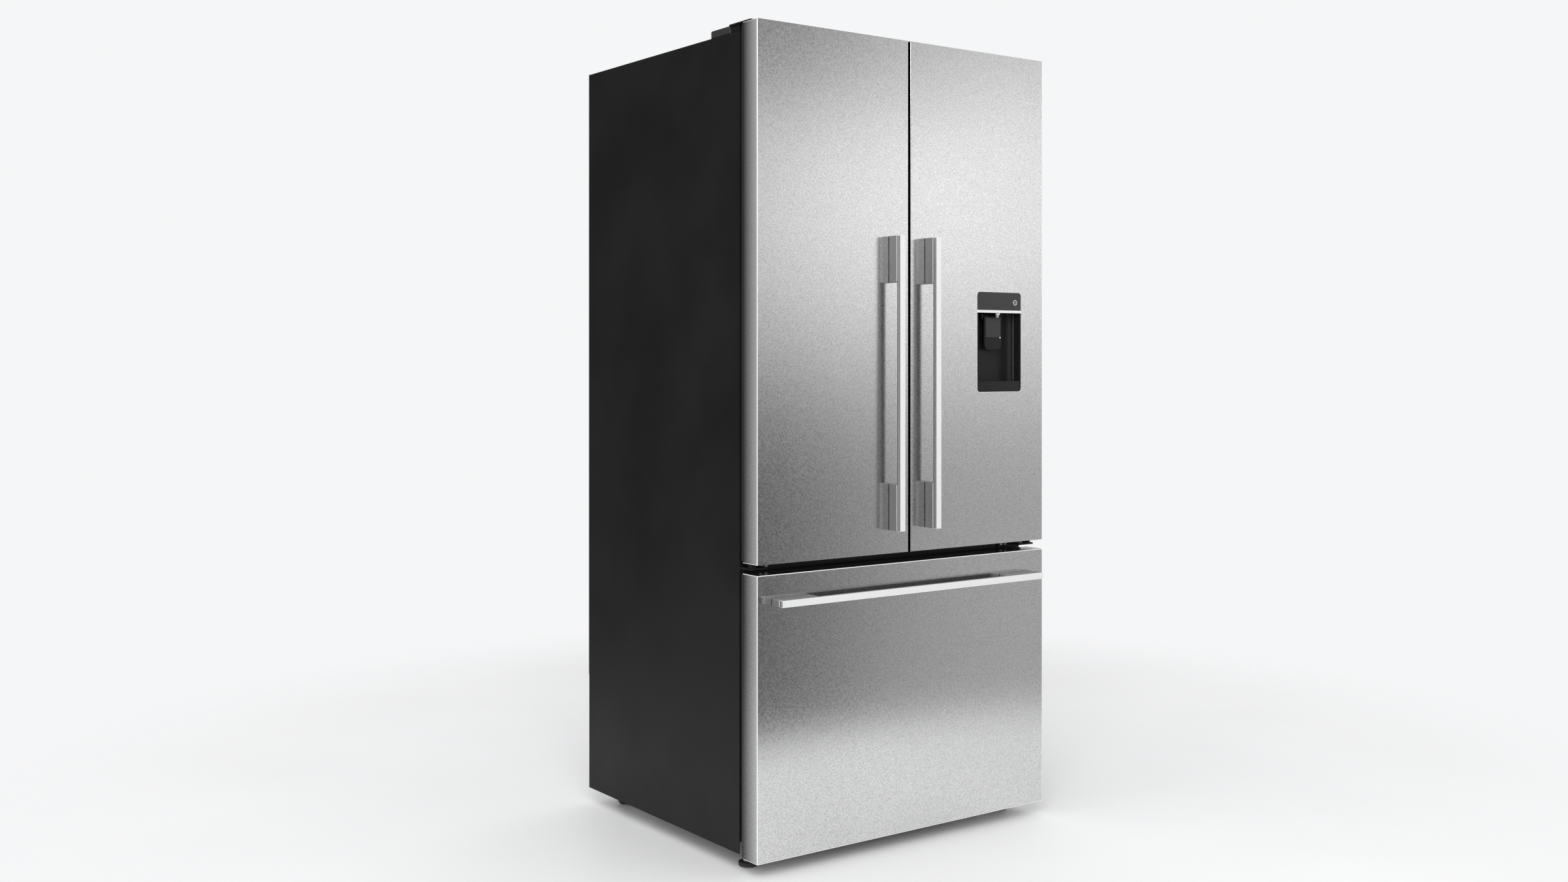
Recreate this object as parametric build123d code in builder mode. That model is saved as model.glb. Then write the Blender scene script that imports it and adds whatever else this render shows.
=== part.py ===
"""A french door refrigerator: two hinged doors above a pull-out freezer drawer.

Millimetres, +Z up, doors facing -Y. The origin is on the floor, under the middle of the outer box.
"""

from build123d import *
import os

# Overall sizes
WIDTH = 790.0
HEIGHT = 1715.0
DEPTH = 733.0
HALF = WIDTH / 2
GRIP_FRONT = -DEPTH / 2
REAR = DEPTH / 2

# Depth planes, from the grips back to the cabinet
GRIP_REACH = 38.0
FRONT = GRIP_FRONT + GRIP_REACH
SKIN_DEPTH = 50.0
SKIN_BACK = FRONT + SKIN_DEPTH
LINER_BACK = SKIN_BACK + 9.0
SEAL_BACK = LINER_BACK + 10.5
CASE_FRONT = SEAL_BACK + 0.5
CASE_BACK = REAR - 4.0
SHEET = 1.2
EDGE_R = 1.5

# Upper doors and drawer front
DOOR_Z = (626.0, 1711.0)
DOOR_INNER = 3.0
CAP = 22.0
CAP_RECESS = 1.0
DRAWER_Z = (32.0, 605.0)
SEAL_WIDTH = 14.0
SEAL_INSET = 12.0
HINGE_X = 381.0
HINGE_Y = -290.5
PIN_R = 5.0
FIT = 0.05

# Grips
GRIP_WIDTH = 14.0
GRIP_THICK = 10.5
GRIP_GROOVE = 3.0
POST_LENGTH = 98.0
GRIP_X = 43.0
GRIP_Z = (675.0, 1294.0)
DRAWER_GRIP_X = 360.0
DRAWER_GRIP_Z = (543.5, 557.5)

# Cabinet
CASE_HALF = 390.0
CASE_SHEET = 1.5
CASE_Z = (36.0, 1699.0)
CASE_INNER = CASE_HALF - CASE_SHEET
FLANGE_BACK = CASE_FRONT + 1.5
LINER_WALL = 3.0
FOAM_BOTTOM = 60.0
FRIDGE_X = 350.0
FRIDGE_Z = (650.0, 1642.0)
FRIDGE_BACK = 303.0
FREEZER_X = 345.0
FREEZER_Z = (96.0, 580.0)
FREEZER_BACK = 170.0
BAY_X = 380.0
BAY_FRONT = 190.0
BAY_TOP = 300.0
BASE_Z = (40.0, 60.0)
BASE_SHEET = 3.0

# Inside the upper compartment
SHELF_Z = (1040.0, 1230.0, 1430.0)
SHELF_Y = (-130.0, 270.0)
LEDGE = 8.0
CRISPER_X = (38.0, 341.0)
CRISPER_Y = (-150.0, 262.0)
CRISPER_Z = (670.0, 838.0)
COVER_Z = (852.0, 860.0)
DYKE_BACK = -205.0
DYKE_Z = (870.0, 1625.0)
DYKE_IN = (44.0, 56.0)
DYKE_OUT = (332.0, 344.0)
BIN_X = (56.5, 331.5)
BIN_BACK = -172.0
BIN_HEIGHT = 90.0
LOW_BIN, MID_BIN, TOP_BIN = 890.0, 1140.0, 1400.0
LID_PIVOT = (-262.0, 1495.0)
LID_PIN_R = 2.5
FLAP_AXIS = (-23.0, -249.0)
FLAP_R = 9.0
FLAP_BACK = -196.0
FLAP_Z = (668.0, 1630.0)

# Dispenser in the right door
DISP_X = (194.0, 328.0)
DISP_Z = (962.0, 1184.0)
DISP_R = 8.0
DISP_BACK = -292.0
RECESS_X = (198.0, 324.0)
RECESS_BACK = -296.0
TRIM_Z = (1137.5, 1143.5)
SILL_Z = 986.0
PADDLE_X = (232.0, 283.0)
PADDLE_Z = (1056.0, 1130.0)
PADDLE_Y = (-312.5, -308.5)
PADDLE_PIVOT = (-303.5, 1130.0)
NOZZLE_AT = (262.0, -320.5)
BUTTON_AT = (309.0, 1161.0)
BUTTON_R = 7.2

# Freezer drawer
BASKET_X = 329.0
BASKET_Y = (-262.0, 82.0)
BASKET_Z = (110.0, 340.0)
TRAY_Y = (-255.0, 5.0)
TRAY_Z = (340.6, 455.0)
RAIL_Z = (118.0, 158.0)
RAIL_THICK = 4.0
RAIL_GAP = 0.5

# Machine bay, feet and rollers
FOOT_AT = (350.0, -232.0)
FOOT_R = 20.0
STEM_R = 5.0
ROLLER_AT = (325.0, 310.0)
ROLLER_R = 18.0
ROLLER_WIDTH = 22.0
AXLE_R = 4.0
COMPRESSOR_AT = (-230.0, 277.0)
FAN_AT = (280.0, 155.0)
COLD_FAN_Z = 480.0
SHAFT_R = 3.0


def block(x, y, z, mode=Mode.ADD):
    """Add or cut the box between the three (low, high) ranges."""
    with Locations((sum(x) / 2, sum(y) / 2, sum(z) / 2)):
        Box(x[1] - x[0], y[1] - y[0], z[1] - z[0], mode=mode)


def rod(axis, span, at, radius, mode=Mode.ADD):
    """Add or cut a cylinder along an axis; `at` is its centre in the other two coordinates."""
    planes = {
        "x": Plane.YZ.offset(span[0]),
        "y": Plane.XZ.offset(-span[1]),
        "z": Plane.XY.offset(span[0]),
    }
    with BuildSketch(planes[axis]) as disc:
        with Locations(at):
            Circle(radius)
    extrude(disc.sketch, amount=span[1] - span[0], mode=mode)


def plate(x, y, z, radius, mode=Mode.ADD):
    """Add or cut a slab that faces the front and has rounded corners."""
    with BuildSketch(Plane.XZ.offset(-y[1])) as outline:
        with Locations((sum(x) / 2, sum(z) / 2)):
            RectangleRounded(x[1] - x[0], z[1] - z[0], radius)
    extrude(outline.sketch, amount=y[1] - y[0], mode=mode)


def across(side, inner, outer):
    """The X range between two distances from the centre line, on side -1 (left) or 1 (right)."""
    return tuple(sorted((side * inner, side * outer)))


def tub(x, y, z, wall):
    """A box that is open at the top."""
    block(x, y, z)
    inner = (x[0] + wall, x[1] - wall), (y[0] + wall, y[1] - wall), (z[0] + wall, z[1])
    block(*inner, mode=Mode.SUBTRACT)


def ring(x, y, z, width):
    """A frame that faces the front, with bars of the given width."""
    block(x, y, z)
    block((x[0] + width, x[1] - width), y, (z[0] + width, z[1] - width), mode=Mode.SUBTRACT)


# ---------------------------------------------------------------- cabinet

with BuildPart() as cabinet_wrapper:
    with BuildSketch(Plane.XZ.offset(-CASE_BACK)) as arch:
        with Locations((0, sum(CASE_Z) / 2)):
            Rectangle(2 * CASE_HALF, CASE_Z[1] - CASE_Z[0])
        fillet(arch.vertices().group_by(Axis.Y)[-1], 4)
        with Locations((0, (CASE_Z[0] + CASE_Z[1] - CASE_SHEET) / 2)):
            Rectangle(2 * CASE_INNER, CASE_Z[1] - CASE_SHEET - CASE_Z[0], mode=Mode.SUBTRACT)
    extrude(amount=CASE_BACK - CASE_FRONT)

with BuildPart() as cabinet_foam:
    block((-CASE_INNER, CASE_INNER), (FLANGE_BACK, CASE_BACK), (FOAM_BOTTOM, CASE_Z[1] - CASE_SHEET))
    block((-FRIDGE_X, FRIDGE_X), (FLANGE_BACK, FRIDGE_BACK), FRIDGE_Z, Mode.SUBTRACT)
    block((-FREEZER_X, FREEZER_X), (FLANGE_BACK, FREEZER_BACK), FREEZER_Z, Mode.SUBTRACT)
    block((-BAY_X, BAY_X), (BAY_FRONT, CASE_BACK), (FOAM_BOTTOM, BAY_TOP), Mode.SUBTRACT)
    rail_back = CASE_FRONT + 18.5
    rail_z = (FREEZER_Z[1], FRIDGE_Z[0])
    block((-CASE_INNER, CASE_INNER), (FLANGE_BACK, rail_back), rail_z, Mode.SUBTRACT)

with BuildPart() as cross_rail:
    block((-CASE_INNER, CASE_INNER), (CASE_FRONT, rail_back), rail_z)

with BuildPart() as fridge_liner:
    block((-CASE_INNER, CASE_INNER), (CASE_FRONT, FLANGE_BACK), (FRIDGE_Z[0], CASE_Z[1] - CASE_SHEET))
    block((-FRIDGE_X, FRIDGE_X), (FLANGE_BACK, FRIDGE_BACK), FRIDGE_Z)
    room_x = FRIDGE_X - LINER_WALL
    room_z = (FRIDGE_Z[0] + LINER_WALL, FRIDGE_Z[1] - LINER_WALL)
    block((-room_x, room_x), (CASE_FRONT, FRIDGE_BACK - LINER_WALL), room_z, Mode.SUBTRACT)
    for side in (-1, 1):
        # Moulded ledges carry the shelves and the crisper cover.
        for top in (*SHELF_Z, COVER_Z[0]):
            block(across(side, room_x - LEDGE, room_x), (SHELF_Y[0] + 10, SHELF_Y[1]), (top - 10, top))
        # Floor ribs carry the crispers.
        for rib in (60.0, 315.0):
            rib_z = (room_z[0], CRISPER_Z[0] - 0.5)
            block(across(side, rib, rib + 10), (SHELF_Y[0], CRISPER_Y[1] - 20), rib_z)

with BuildPart() as freezer_liner:
    block((-CASE_INNER, CASE_INNER), (CASE_FRONT, FLANGE_BACK), (FOAM_BOTTOM, FREEZER_Z[1]))
    block((-FREEZER_X, FREEZER_X), (FLANGE_BACK, FREEZER_BACK), FREEZER_Z)
    cold_x = FREEZER_X - LINER_WALL
    cold_z = (FREEZER_Z[0] + LINER_WALL, FREEZER_Z[1] - LINER_WALL)
    block((-cold_x, cold_x), (CASE_FRONT, FREEZER_BACK - LINER_WALL), cold_z, Mode.SUBTRACT)

with BuildPart() as rear_panel:
    block((-CASE_HALF, CASE_HALF), (CASE_BACK, CASE_BACK + 2), (BAY_TOP, CASE_Z[1]))

with BuildPart() as machine_cover:
    block((-CASE_HALF + 4, CASE_HALF - 4), (CASE_BACK, REAR), (BASE_Z[0] + 4, BAY_TOP))
    with BuildSketch(Plane.XZ.offset(-REAR)) as louvres:
        with Locations((0, 170)):
            with GridLocations(170, 22, 4, 7):
                SlotOverall(130, 8)
    extrude(louvres.sketch, amount=REAR - CASE_BACK, mode=Mode.SUBTRACT)

with BuildPart() as base_frame:
    base_y = (FLANGE_BACK + 2, CASE_BACK)
    block((-CASE_INNER, CASE_INNER), base_y, BASE_Z)
    rim = (-CASE_INNER + BASE_SHEET, CASE_INNER - BASE_SHEET)
    inside_y = (base_y[0] + BASE_SHEET, base_y[1] - BASE_SHEET)
    block(rim, inside_y, (BASE_Z[0] + BASE_SHEET, BASE_Z[1]), Mode.SUBTRACT)
    for side in (-1, 1):
        foot = (side * FOOT_AT[0], FOOT_AT[1])
        rod("z", (30, BASE_Z[1]), foot, 13)
        rod("z", (30, BASE_Z[1]), foot, STEM_R + FIT, Mode.SUBTRACT)
        # Cheeks and axle of the rear roller
        for cheek in (ROLLER_WIDTH / 2 + 1, -ROLLER_WIDTH / 2 - 5):
            left = side * ROLLER_AT[0] + cheek
            cheek_y = (ROLLER_AT[1] - 12, ROLLER_AT[1] + 12)
            block((left, left + 4), cheek_y, (9, BASE_Z[0]))
        axle = (side * ROLLER_AT[0] - ROLLER_WIDTH / 2 - 5, side * ROLLER_AT[0] + ROLLER_WIDTH / 2 + 5)
        rod("x", axle, (ROLLER_AT[1], ROLLER_R), AXLE_R)

# ---------------------------------------------------------------- door hinges

LOW_PLATE = (613.0, 617.0)
with BuildPart() as door_hinges:
    for side in (-1, 1):
        pin = (side * HINGE_X, HINGE_Y)
        # Upper hinge: a stepped plate on the cabinet top with a pin that points down
        block(across(side, 350, 392), (HINGE_Y - 11, -225), (DOOR_Z[1] + 0.6, HEIGHT))
        block(across(side, 350, 388), (CASE_FRONT + 3, -225), (CASE_Z[1], DOOR_Z[1] + 0.6))
        rod("z", (DOOR_Z[1] - 20, DOOR_Z[1] + 0.6), pin, PIN_R)
        # Middle hinge: a shelf under the door with a washer and a pin that points up
        block(across(side, 350, 392), (HINGE_Y - 11, CASE_FRONT), LOW_PLATE)
        block(across(side, 320, 392), (CASE_FRONT - 3.5, CASE_FRONT), (607, 624))
        rod("z", (LOW_PLATE[1], DOOR_Z[0] - 0.5), pin, 9)
        rod("z", (DOOR_Z[0] - 0.5, DOOR_Z[0] + 18), pin, PIN_R)

with BuildPart() as hinge_covers:
    block((340, 389), (-224.5, -150), (CASE_Z[1], HEIGHT - 1))
    fillet(hinge_covers.edges().filter_by(Axis.Z), 6)
    fillet(hinge_covers.faces().sort_by(Axis.Z)[-1].edges(), 3)
    mirror(about=Plane.YZ)

# ---------------------------------------------------------------- upper compartment

with BuildPart() as air_duct_cover:
    duct_y = (286, FRIDGE_BACK - LINER_WALL)
    plate((-110, 110), duct_y, (880, 1600), 14)
    plate((-104, 104), (290, duct_y[1]), (886, 1594), 10, Mode.SUBTRACT)
    with BuildSketch(Plane.XZ.offset(-duct_y[1])) as vents:
        for centre in (980, 1160, 1350, 1530):
            with Locations((0, centre)):
                with GridLocations(0, 14, 1, 3):
                    SlotOverall(150, 6)
    extrude(vents.sketch, amount=duct_y[1] - duct_y[0], mode=Mode.SUBTRACT)

with BuildPart() as led_light:
    block((-160, 160), (-110, -60), (room_z[1] - 8, room_z[1]))
    fillet(led_light.edges().filter_by(Axis.Z), 12)

GLASS_X = 331.0
GLASS_Y = (SHELF_Y[0] + 9, SHELF_Y[1] - 5)
with BuildPart() as shelf_frames:
    for low in SHELF_Z:
        block((-room_x + 0.5, room_x - 0.5), SHELF_Y, (low, low + 14))
        block((-GLASS_X + 9, GLASS_X - 9), (GLASS_Y[0] + 9, GLASS_Y[1] - 9), (low, low + 14), Mode.SUBTRACT)
        block((-GLASS_X, GLASS_X), GLASS_Y, (low + 8, low + 14), Mode.SUBTRACT)

with BuildPart() as shelf_glass:
    for low in SHELF_Z:
        block((-GLASS_X, GLASS_X), GLASS_Y, (low + 8, low + 12))

with BuildPart() as crisper_cover:
    block((-room_x + 0.5, room_x - 0.5), SHELF_Y, COVER_Z)
    block((-28, 28), (SHELF_Y[0] + 4, CRISPER_Y[1]), (room_z[0], COVER_Z[0]))
    fillet(crisper_cover.edges().filter_by(Axis.X).group_by(Axis.Y)[0], 2.5)


def crisper(side):
    """A clear bin with a pull lip along the top of its front."""
    with BuildPart() as body:
        x = across(side, *CRISPER_X)
        tub(x, CRISPER_Y, CRISPER_Z, 3)
        lip_z = (CRISPER_Z[1] - 22, CRISPER_Z[1])
        block(x, (CRISPER_Y[0] - 8, CRISPER_Y[0]), lip_z)
        block((x[0] + 3, x[1] - 3), (CRISPER_Y[0] - 5, CRISPER_Y[0]), (lip_z[0], lip_z[1] - 3), Mode.SUBTRACT)
    return body


crisper_left = crisper(-1)
crisper_right = crisper(1)

# ---------------------------------------------------------------- freezer compartment and machine bay

with BuildPart() as freezer_back_cover:
    block((-cold_x + 0.5, cold_x - 0.5), (100, 103), (cold_z[0] + 1, cold_z[1] - 1))
    rod("y", (100, 103), (0, COLD_FAN_Z), 50, Mode.SUBTRACT)
    block((-52, 52), (100, 103), (COLD_FAN_Z - 2, COLD_FAN_Z + 2))
    block((-2, 2), (100, 103), (COLD_FAN_Z - 52, COLD_FAN_Z + 52))
    with BuildSketch(Plane.XZ.offset(-103)) as returns:
        with Locations((0, 140)):
            with GridLocations(70, 14, 8, 3):
                SlotOverall(52, 6)
    extrude(returns.sketch, amount=3, mode=Mode.SUBTRACT)

with BuildPart() as evaporator_unit:
    for i in range(17):
        fin = -200 + 25 * i
        block((fin - 0.75, fin + 0.75), (114, 150), (150, 410))
    for tube_y in (123, 141):
        for tube_z in (175, 228, 281, 334, 387):
            rod("x", (-206, 206), (tube_y, tube_z), 4)
    # Motor and shaft of the cold air fan
    rod("y", (140, FREEZER_BACK - LINER_WALL), (0, COLD_FAN_Z), 18)
    rod("y", (116, 140), (0, COLD_FAN_Z), SHAFT_R)


def fan(plane, radius, hub, thick):
    """Five pitched blades on a bored hub; the plane's normal is the shaft."""
    with BuildPart() as body:
        with Locations(plane):
            Cylinder(hub, thick)
            with PolarLocations((radius + hub - 3) / 2, 5):
                Box(radius - hub + 3, thick * 1.35, 2.5, rotation=(35, 0, 0))
            Cylinder(SHAFT_R + FIT, 2 * thick, mode=Mode.SUBTRACT)
    return body


cold_plane = Plane(origin=(0, 125, COLD_FAN_Z), x_dir=(1, 0, 0), z_dir=(0, -1, 0))
evaporator_fan = fan(cold_plane, 46, 14, 14)
warm_plane = Plane(origin=(-5, *FAN_AT), x_dir=(0, 1, 0), z_dir=(1, 0, 0))
condenser_fan = fan(warm_plane, 58, 16, 16)

with BuildPart() as condenser_unit:
    for i in range(12):
        fin = 30 + 15 * i
        block((fin - 0.75, fin + 0.75), (215, 345), (75, 235))
    for tube_y in (235, 280, 325):
        for tube_z in (95, 135, 175, 215):
            rod("x", (20, 205), (tube_y, tube_z), 4)
    # Shroud round the fan
    block((14, 17), (208, 352), (BASE_Z[0] + BASE_SHEET, 240))
    rod("x", (14, 17), FAN_AT, 62, Mode.SUBTRACT)
    block((14, 205), (215, 345), (BASE_Z[0] + BASE_SHEET, 75))
    # Fan motor on its bracket
    rod("x", (-50, -18), FAN_AT, 20)
    rod("x", (-18, 4), FAN_AT, SHAFT_R)
    block((-44, -34), (FAN_AT[0] - 12, FAN_AT[0] + 12), (BASE_Z[0] + BASE_SHEET, FAN_AT[1]))

with BuildPart() as compressor:
    with BuildSketch(Plane.XY.offset(66)):
        with Locations(COMPRESSOR_AT):
            Circle(72)
    extrude(amount=160)
    fillet(compressor.edges().group_by(Axis.Z)[-1], 38)
    fillet(compressor.edges().group_by(Axis.Z)[0], 12)
    cx, cy = COMPRESSOR_AT
    block((cx - 95, cx + 95), (cy - 55, cy + 55), (62, 68))
    for dx in (-84, 84):
        for dy in (-44, 44):
            rod("z", (BASE_Z[0] + BASE_SHEET, 74), (cx + dx, cy + dy), 9)
    block((cx + 66, cx + 86), (cy - 22, cy + 22), (110, 160))

# ---------------------------------------------------------------- feet and rollers


def levelling_foot(side):
    """A round pad on a threaded stem."""
    with BuildPart() as foot:
        at = (side * FOOT_AT[0], FOOT_AT[1])
        rod("z", (0, 10), at, FOOT_R)
        fillet(foot.edges().group_by(Axis.Z)[-1], 2)
        with BuildSketch(Plane.XY.offset(10)) as collar:
            with Locations(at):
                RegularPolygon(11, 6)
        extrude(collar.sketch, amount=7)
        rod("z", (17, BASE_Z[1] - 2), at, STEM_R)
    return foot


def rear_roller(side):
    """A solid wheel that runs on the base frame's axle."""
    with BuildPart() as roller:
        middle = side * ROLLER_AT[0]
        span = (middle - ROLLER_WIDTH / 2, middle + ROLLER_WIDTH / 2)
        rod("x", span, (ROLLER_AT[1], ROLLER_R), ROLLER_R)
        fillet(roller.edges(), 2)
        rod("x", span, (ROLLER_AT[1], ROLLER_R), AXLE_R + FIT, Mode.SUBTRACT)
    return roller


left_foot = levelling_foot(-1)
right_foot = levelling_foot(1)
left_roller = rear_roller(-1)
right_roller = rear_roller(1)

# ---------------------------------------------------------------- upper doors


def door_skin(side):
    """A folded steel sheet: the door's face and both upright edges."""
    with BuildPart() as skin:
        x = across(side, DOOR_INNER, HALF)
        with BuildSketch(Plane.XY.offset(DOOR_Z[0])) as outline:
            with Locations((sum(x) / 2, (FRONT + SKIN_BACK) / 2)):
                Rectangle(x[1] - x[0], SKIN_DEPTH)
            fillet(outline.vertices().group_by(Axis.Y)[0], EDGE_R)
            with Locations((sum(x) / 2, (FRONT + SHEET + SKIN_BACK) / 2)):
                Rectangle(x[1] - x[0] - 2 * SHEET, SKIN_DEPTH - SHEET, mode=Mode.SUBTRACT)
        extrude(amount=DOOR_Z[1] - DOOR_Z[0])
        if side > 0:
            plate(DISP_X, (FRONT, FRONT + SHEET), DISP_Z, DISP_R, Mode.SUBTRACT)
    return skin


def door_caps(side):
    """The end caps that close a door at the top and bottom and hold its hinge bushes."""
    with BuildPart() as caps:
        x = across(side, DOOR_INNER + SHEET, HALF - SHEET)
        for z in ((DOOR_Z[0] + CAP_RECESS, DOOR_Z[0] + CAP), (DOOR_Z[1] - CAP, DOOR_Z[1] - CAP_RECESS)):
            block(x, (FRONT + SHEET, SKIN_BACK), z)
            rod("z", z, (side * HINGE_X, HINGE_Y), PIN_R + FIT, Mode.SUBTRACT)
    return caps


def door_foam(side):
    """The insulation inside a door; on the right it has a pocket for the dispenser."""
    with BuildPart() as foam:
        x = across(side, DOOR_INNER + SHEET, HALF - SHEET)
        block(x, (FRONT + SHEET, SKIN_BACK), (DOOR_Z[0] + CAP, DOOR_Z[1] - CAP))
        if side > 0:
            block(DISP_X, (FRONT + SHEET, DISP_BACK), DISP_Z, Mode.SUBTRACT)
    return foam


def door_liner(side):
    """The inner panel, with an upright dyke on each side that carries the door bins."""
    with BuildPart() as liner:
        x = across(side, DOOR_INNER + SHEET, HALF - SHEET)
        block(x, (SKIN_BACK, LINER_BACK), (DOOR_Z[0] + 3, DOOR_Z[1] - 3))
        for dyke in (DYKE_IN, DYKE_OUT):
            block(across(side, *dyke), (LINER_BACK, DYKE_BACK), DYKE_Z)
        fillet(liner.edges().filter_by(Axis.Z).group_by(Axis.Y)[-1], 4)
        for low in (LOW_BIN, MID_BIN, TOP_BIN):
            for lug in ((DYKE_IN[1], DYKE_IN[1] + 8), (DYKE_OUT[0] - 8, DYKE_OUT[0])):
                block(across(side, *lug), (LINER_BACK, DYKE_BACK - 6), (low - 8, low))
        if side < 0:
            # Bores for the dairy lid, and two brackets for the mullion flap
            for end in ((-DYKE_OUT[0] - 3, -DYKE_OUT[0]), (-DYKE_IN[1], -DYKE_IN[1] + 3)):
                rod("x", end, LID_PIVOT, LID_PIN_R + FIT, Mode.SUBTRACT)
            for z in ((FLAP_Z[0] - 13, FLAP_Z[0] - 1), (FLAP_Z[1] + 1, FLAP_Z[1] + 7)):
                block((-46, -29), (LINER_BACK, FLAP_AXIS[1] + FLAP_R), z)
                block((-46, -14), (SEAL_BACK + 0.6, FLAP_AXIS[1] + FLAP_R), z)
                rod("z", z, FLAP_AXIS, 3 + FIT, Mode.SUBTRACT)
    return liner


def door_gasket(side):
    """The magnetic seal round the back of an upper door."""
    with BuildPart() as gasket:
        x = across(side, DOOR_INNER + 11, HALF - SEAL_INSET)
        ring(x, (LINER_BACK, SEAL_BACK), (634, 1682), SEAL_WIDTH)
    return gasket


def door_grip(side):
    """An upright bar on two long posts, with a groove between each post and the bar."""
    with BuildPart() as grip:
        x = across(side, GRIP_X, GRIP_X + GRIP_WIDTH)
        bar_back = GRIP_FRONT + GRIP_THICK
        block(x, (GRIP_FRONT, bar_back), GRIP_Z)
        fillet(grip.edges().filter_by(Axis.Z), 1.5)
        for z in ((GRIP_Z[0], GRIP_Z[0] + POST_LENGTH), (GRIP_Z[1] - POST_LENGTH, GRIP_Z[1])):
            block((x[0] + 1.5, x[1] - 1.5), (bar_back, bar_back + GRIP_GROOVE), z)
            block(x, (bar_back + GRIP_GROOVE, FRONT), z)
    return grip


def door_bins(side):
    """The bins on the inside of a door; the left door's top one is the dairy box."""
    with BuildPart() as bins:
        x = across(side, *BIN_X)
        for low in (LOW_BIN, MID_BIN, TOP_BIN):
            back = BIN_BACK - 3.5 if side < 0 and low == TOP_BIN else BIN_BACK
            tub(x, (LINER_BACK, back), (low, low + BIN_HEIGHT), 2.5)
        fillet(bins.edges().filter_by(Axis.Z).group_by(Axis.Y)[-1], 2)
    return bins


left_door_skin, right_door_skin = door_skin(-1), door_skin(1)
left_door_caps, right_door_caps = door_caps(-1), door_caps(1)
left_door_foam, right_door_foam = door_foam(-1), door_foam(1)
left_door_liner, right_door_liner = door_liner(-1), door_liner(1)
left_door_gasket, right_door_gasket = door_gasket(-1), door_gasket(1)
left_door_handle, right_door_handle = door_grip(-1), door_grip(1)
left_door_bins, right_door_bins = door_bins(-1), door_bins(1)

with BuildPart() as dairy_lid:
    lid_x = (-BIN_X[1] + 0.5, -BIN_X[0] - 0.5)
    pivot_y, pivot_z = LID_PIVOT
    rod("x", lid_x, LID_PIVOT, 4)
    rod("x", (lid_x[0] - 3, lid_x[1] + 3), LID_PIVOT, LID_PIN_R)
    block(lid_x, (pivot_y, BIN_BACK), (pivot_z - 3.5, pivot_z - 0.5))
    block(lid_x, (BIN_BACK - 2.5, BIN_BACK), (TOP_BIN + 22, pivot_z - 0.5))
    fillet(dairy_lid.edges().filter_by(Axis.X).group_by(Axis.Y)[-1].group_by(Axis.Z)[-1], 2)

with BuildPart() as mullion_flap:
    ax, ay = FLAP_AXIS
    with BuildSketch(Plane.XY.offset(FLAP_Z[0])) as section:
        with Locations(FLAP_AXIS):
            Circle(FLAP_R)
        with Locations((ax, (ay + FLAP_BACK) / 2)):
            Rectangle(2 * FLAP_R, FLAP_BACK - ay)
        fillet(section.vertices().group_by(Axis.Y)[-1], 3)
    extrude(amount=FLAP_Z[1] - FLAP_Z[0])
    rod("z", (FLAP_Z[0] - 10, FLAP_Z[0]), FLAP_AXIS, 3)
    rod("z", (FLAP_Z[1], FLAP_Z[1] + 6), FLAP_AXIS, 3)

# ---------------------------------------------------------------- water dispenser

LUGS = ((PADDLE_X[0] - 6, PADDLE_X[0] - 0.5), (PADDLE_X[1] + 0.5, PADDLE_X[1] + 6))
with BuildPart() as dispenser_housing:
    face_y = FRONT - 0.6
    plate((DISP_X[0] + 0.3, DISP_X[1] - 0.3), (face_y, DISP_BACK), (DISP_Z[0] + 0.3, DISP_Z[1] - 0.3), DISP_R)
    with BuildSketch(Plane.XY.offset(DISP_Z[0] + 3.5)) as hollow:
        with Locations((sum(RECESS_X) / 2, (face_y - 1 + RECESS_BACK) / 2)):
            Rectangle(RECESS_X[1] - RECESS_X[0], RECESS_BACK - face_y + 1)
        fillet(hollow.vertices().group_by(Axis.Y)[-1], 12)
    extrude(hollow.sketch, amount=TRIM_Z[0] - DISP_Z[0] - 3.5, mode=Mode.SUBTRACT)
    block(DISP_X, (face_y - 1, FRONT + 3), TRIM_Z, Mode.SUBTRACT)
    rod("y", (face_y - 1, FRONT + 8.5), BUTTON_AT, BUTTON_R + 0.3, Mode.SUBTRACT)
    rod("z", (TRIM_Z[0], TRIM_Z[0] + 12), NOZZLE_AT, 4 + FIT, Mode.SUBTRACT)
    for lug in LUGS:
        block(lug, (PADDLE_PIVOT[0] - 5.5, RECESS_BACK), (PADDLE_PIVOT[1] - 6, TRIM_Z[0]))
        rod("x", lug, PADDLE_PIVOT, 2 + FIT, Mode.SUBTRACT)

with BuildPart() as dispenser_trim:
    block((DISP_X[0] + 0.5, DISP_X[1] - 0.5), (FRONT - 2, FRONT + 3), TRIM_Z)
    fillet(dispenser_trim.edges().filter_by(Axis.X).group_by(Axis.Y)[0], 1.2)

with BuildPart() as dispenser_nozzle:
    rod("z", (TRIM_Z[0] - 10, TRIM_Z[0]), NOZZLE_AT, 7)
    rod("z", (TRIM_Z[0], TRIM_Z[0] + 11), NOZZLE_AT, 4)
    rod("z", (TRIM_Z[0] - 10, TRIM_Z[0] + 11), NOZZLE_AT, 2, Mode.SUBTRACT)

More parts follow.
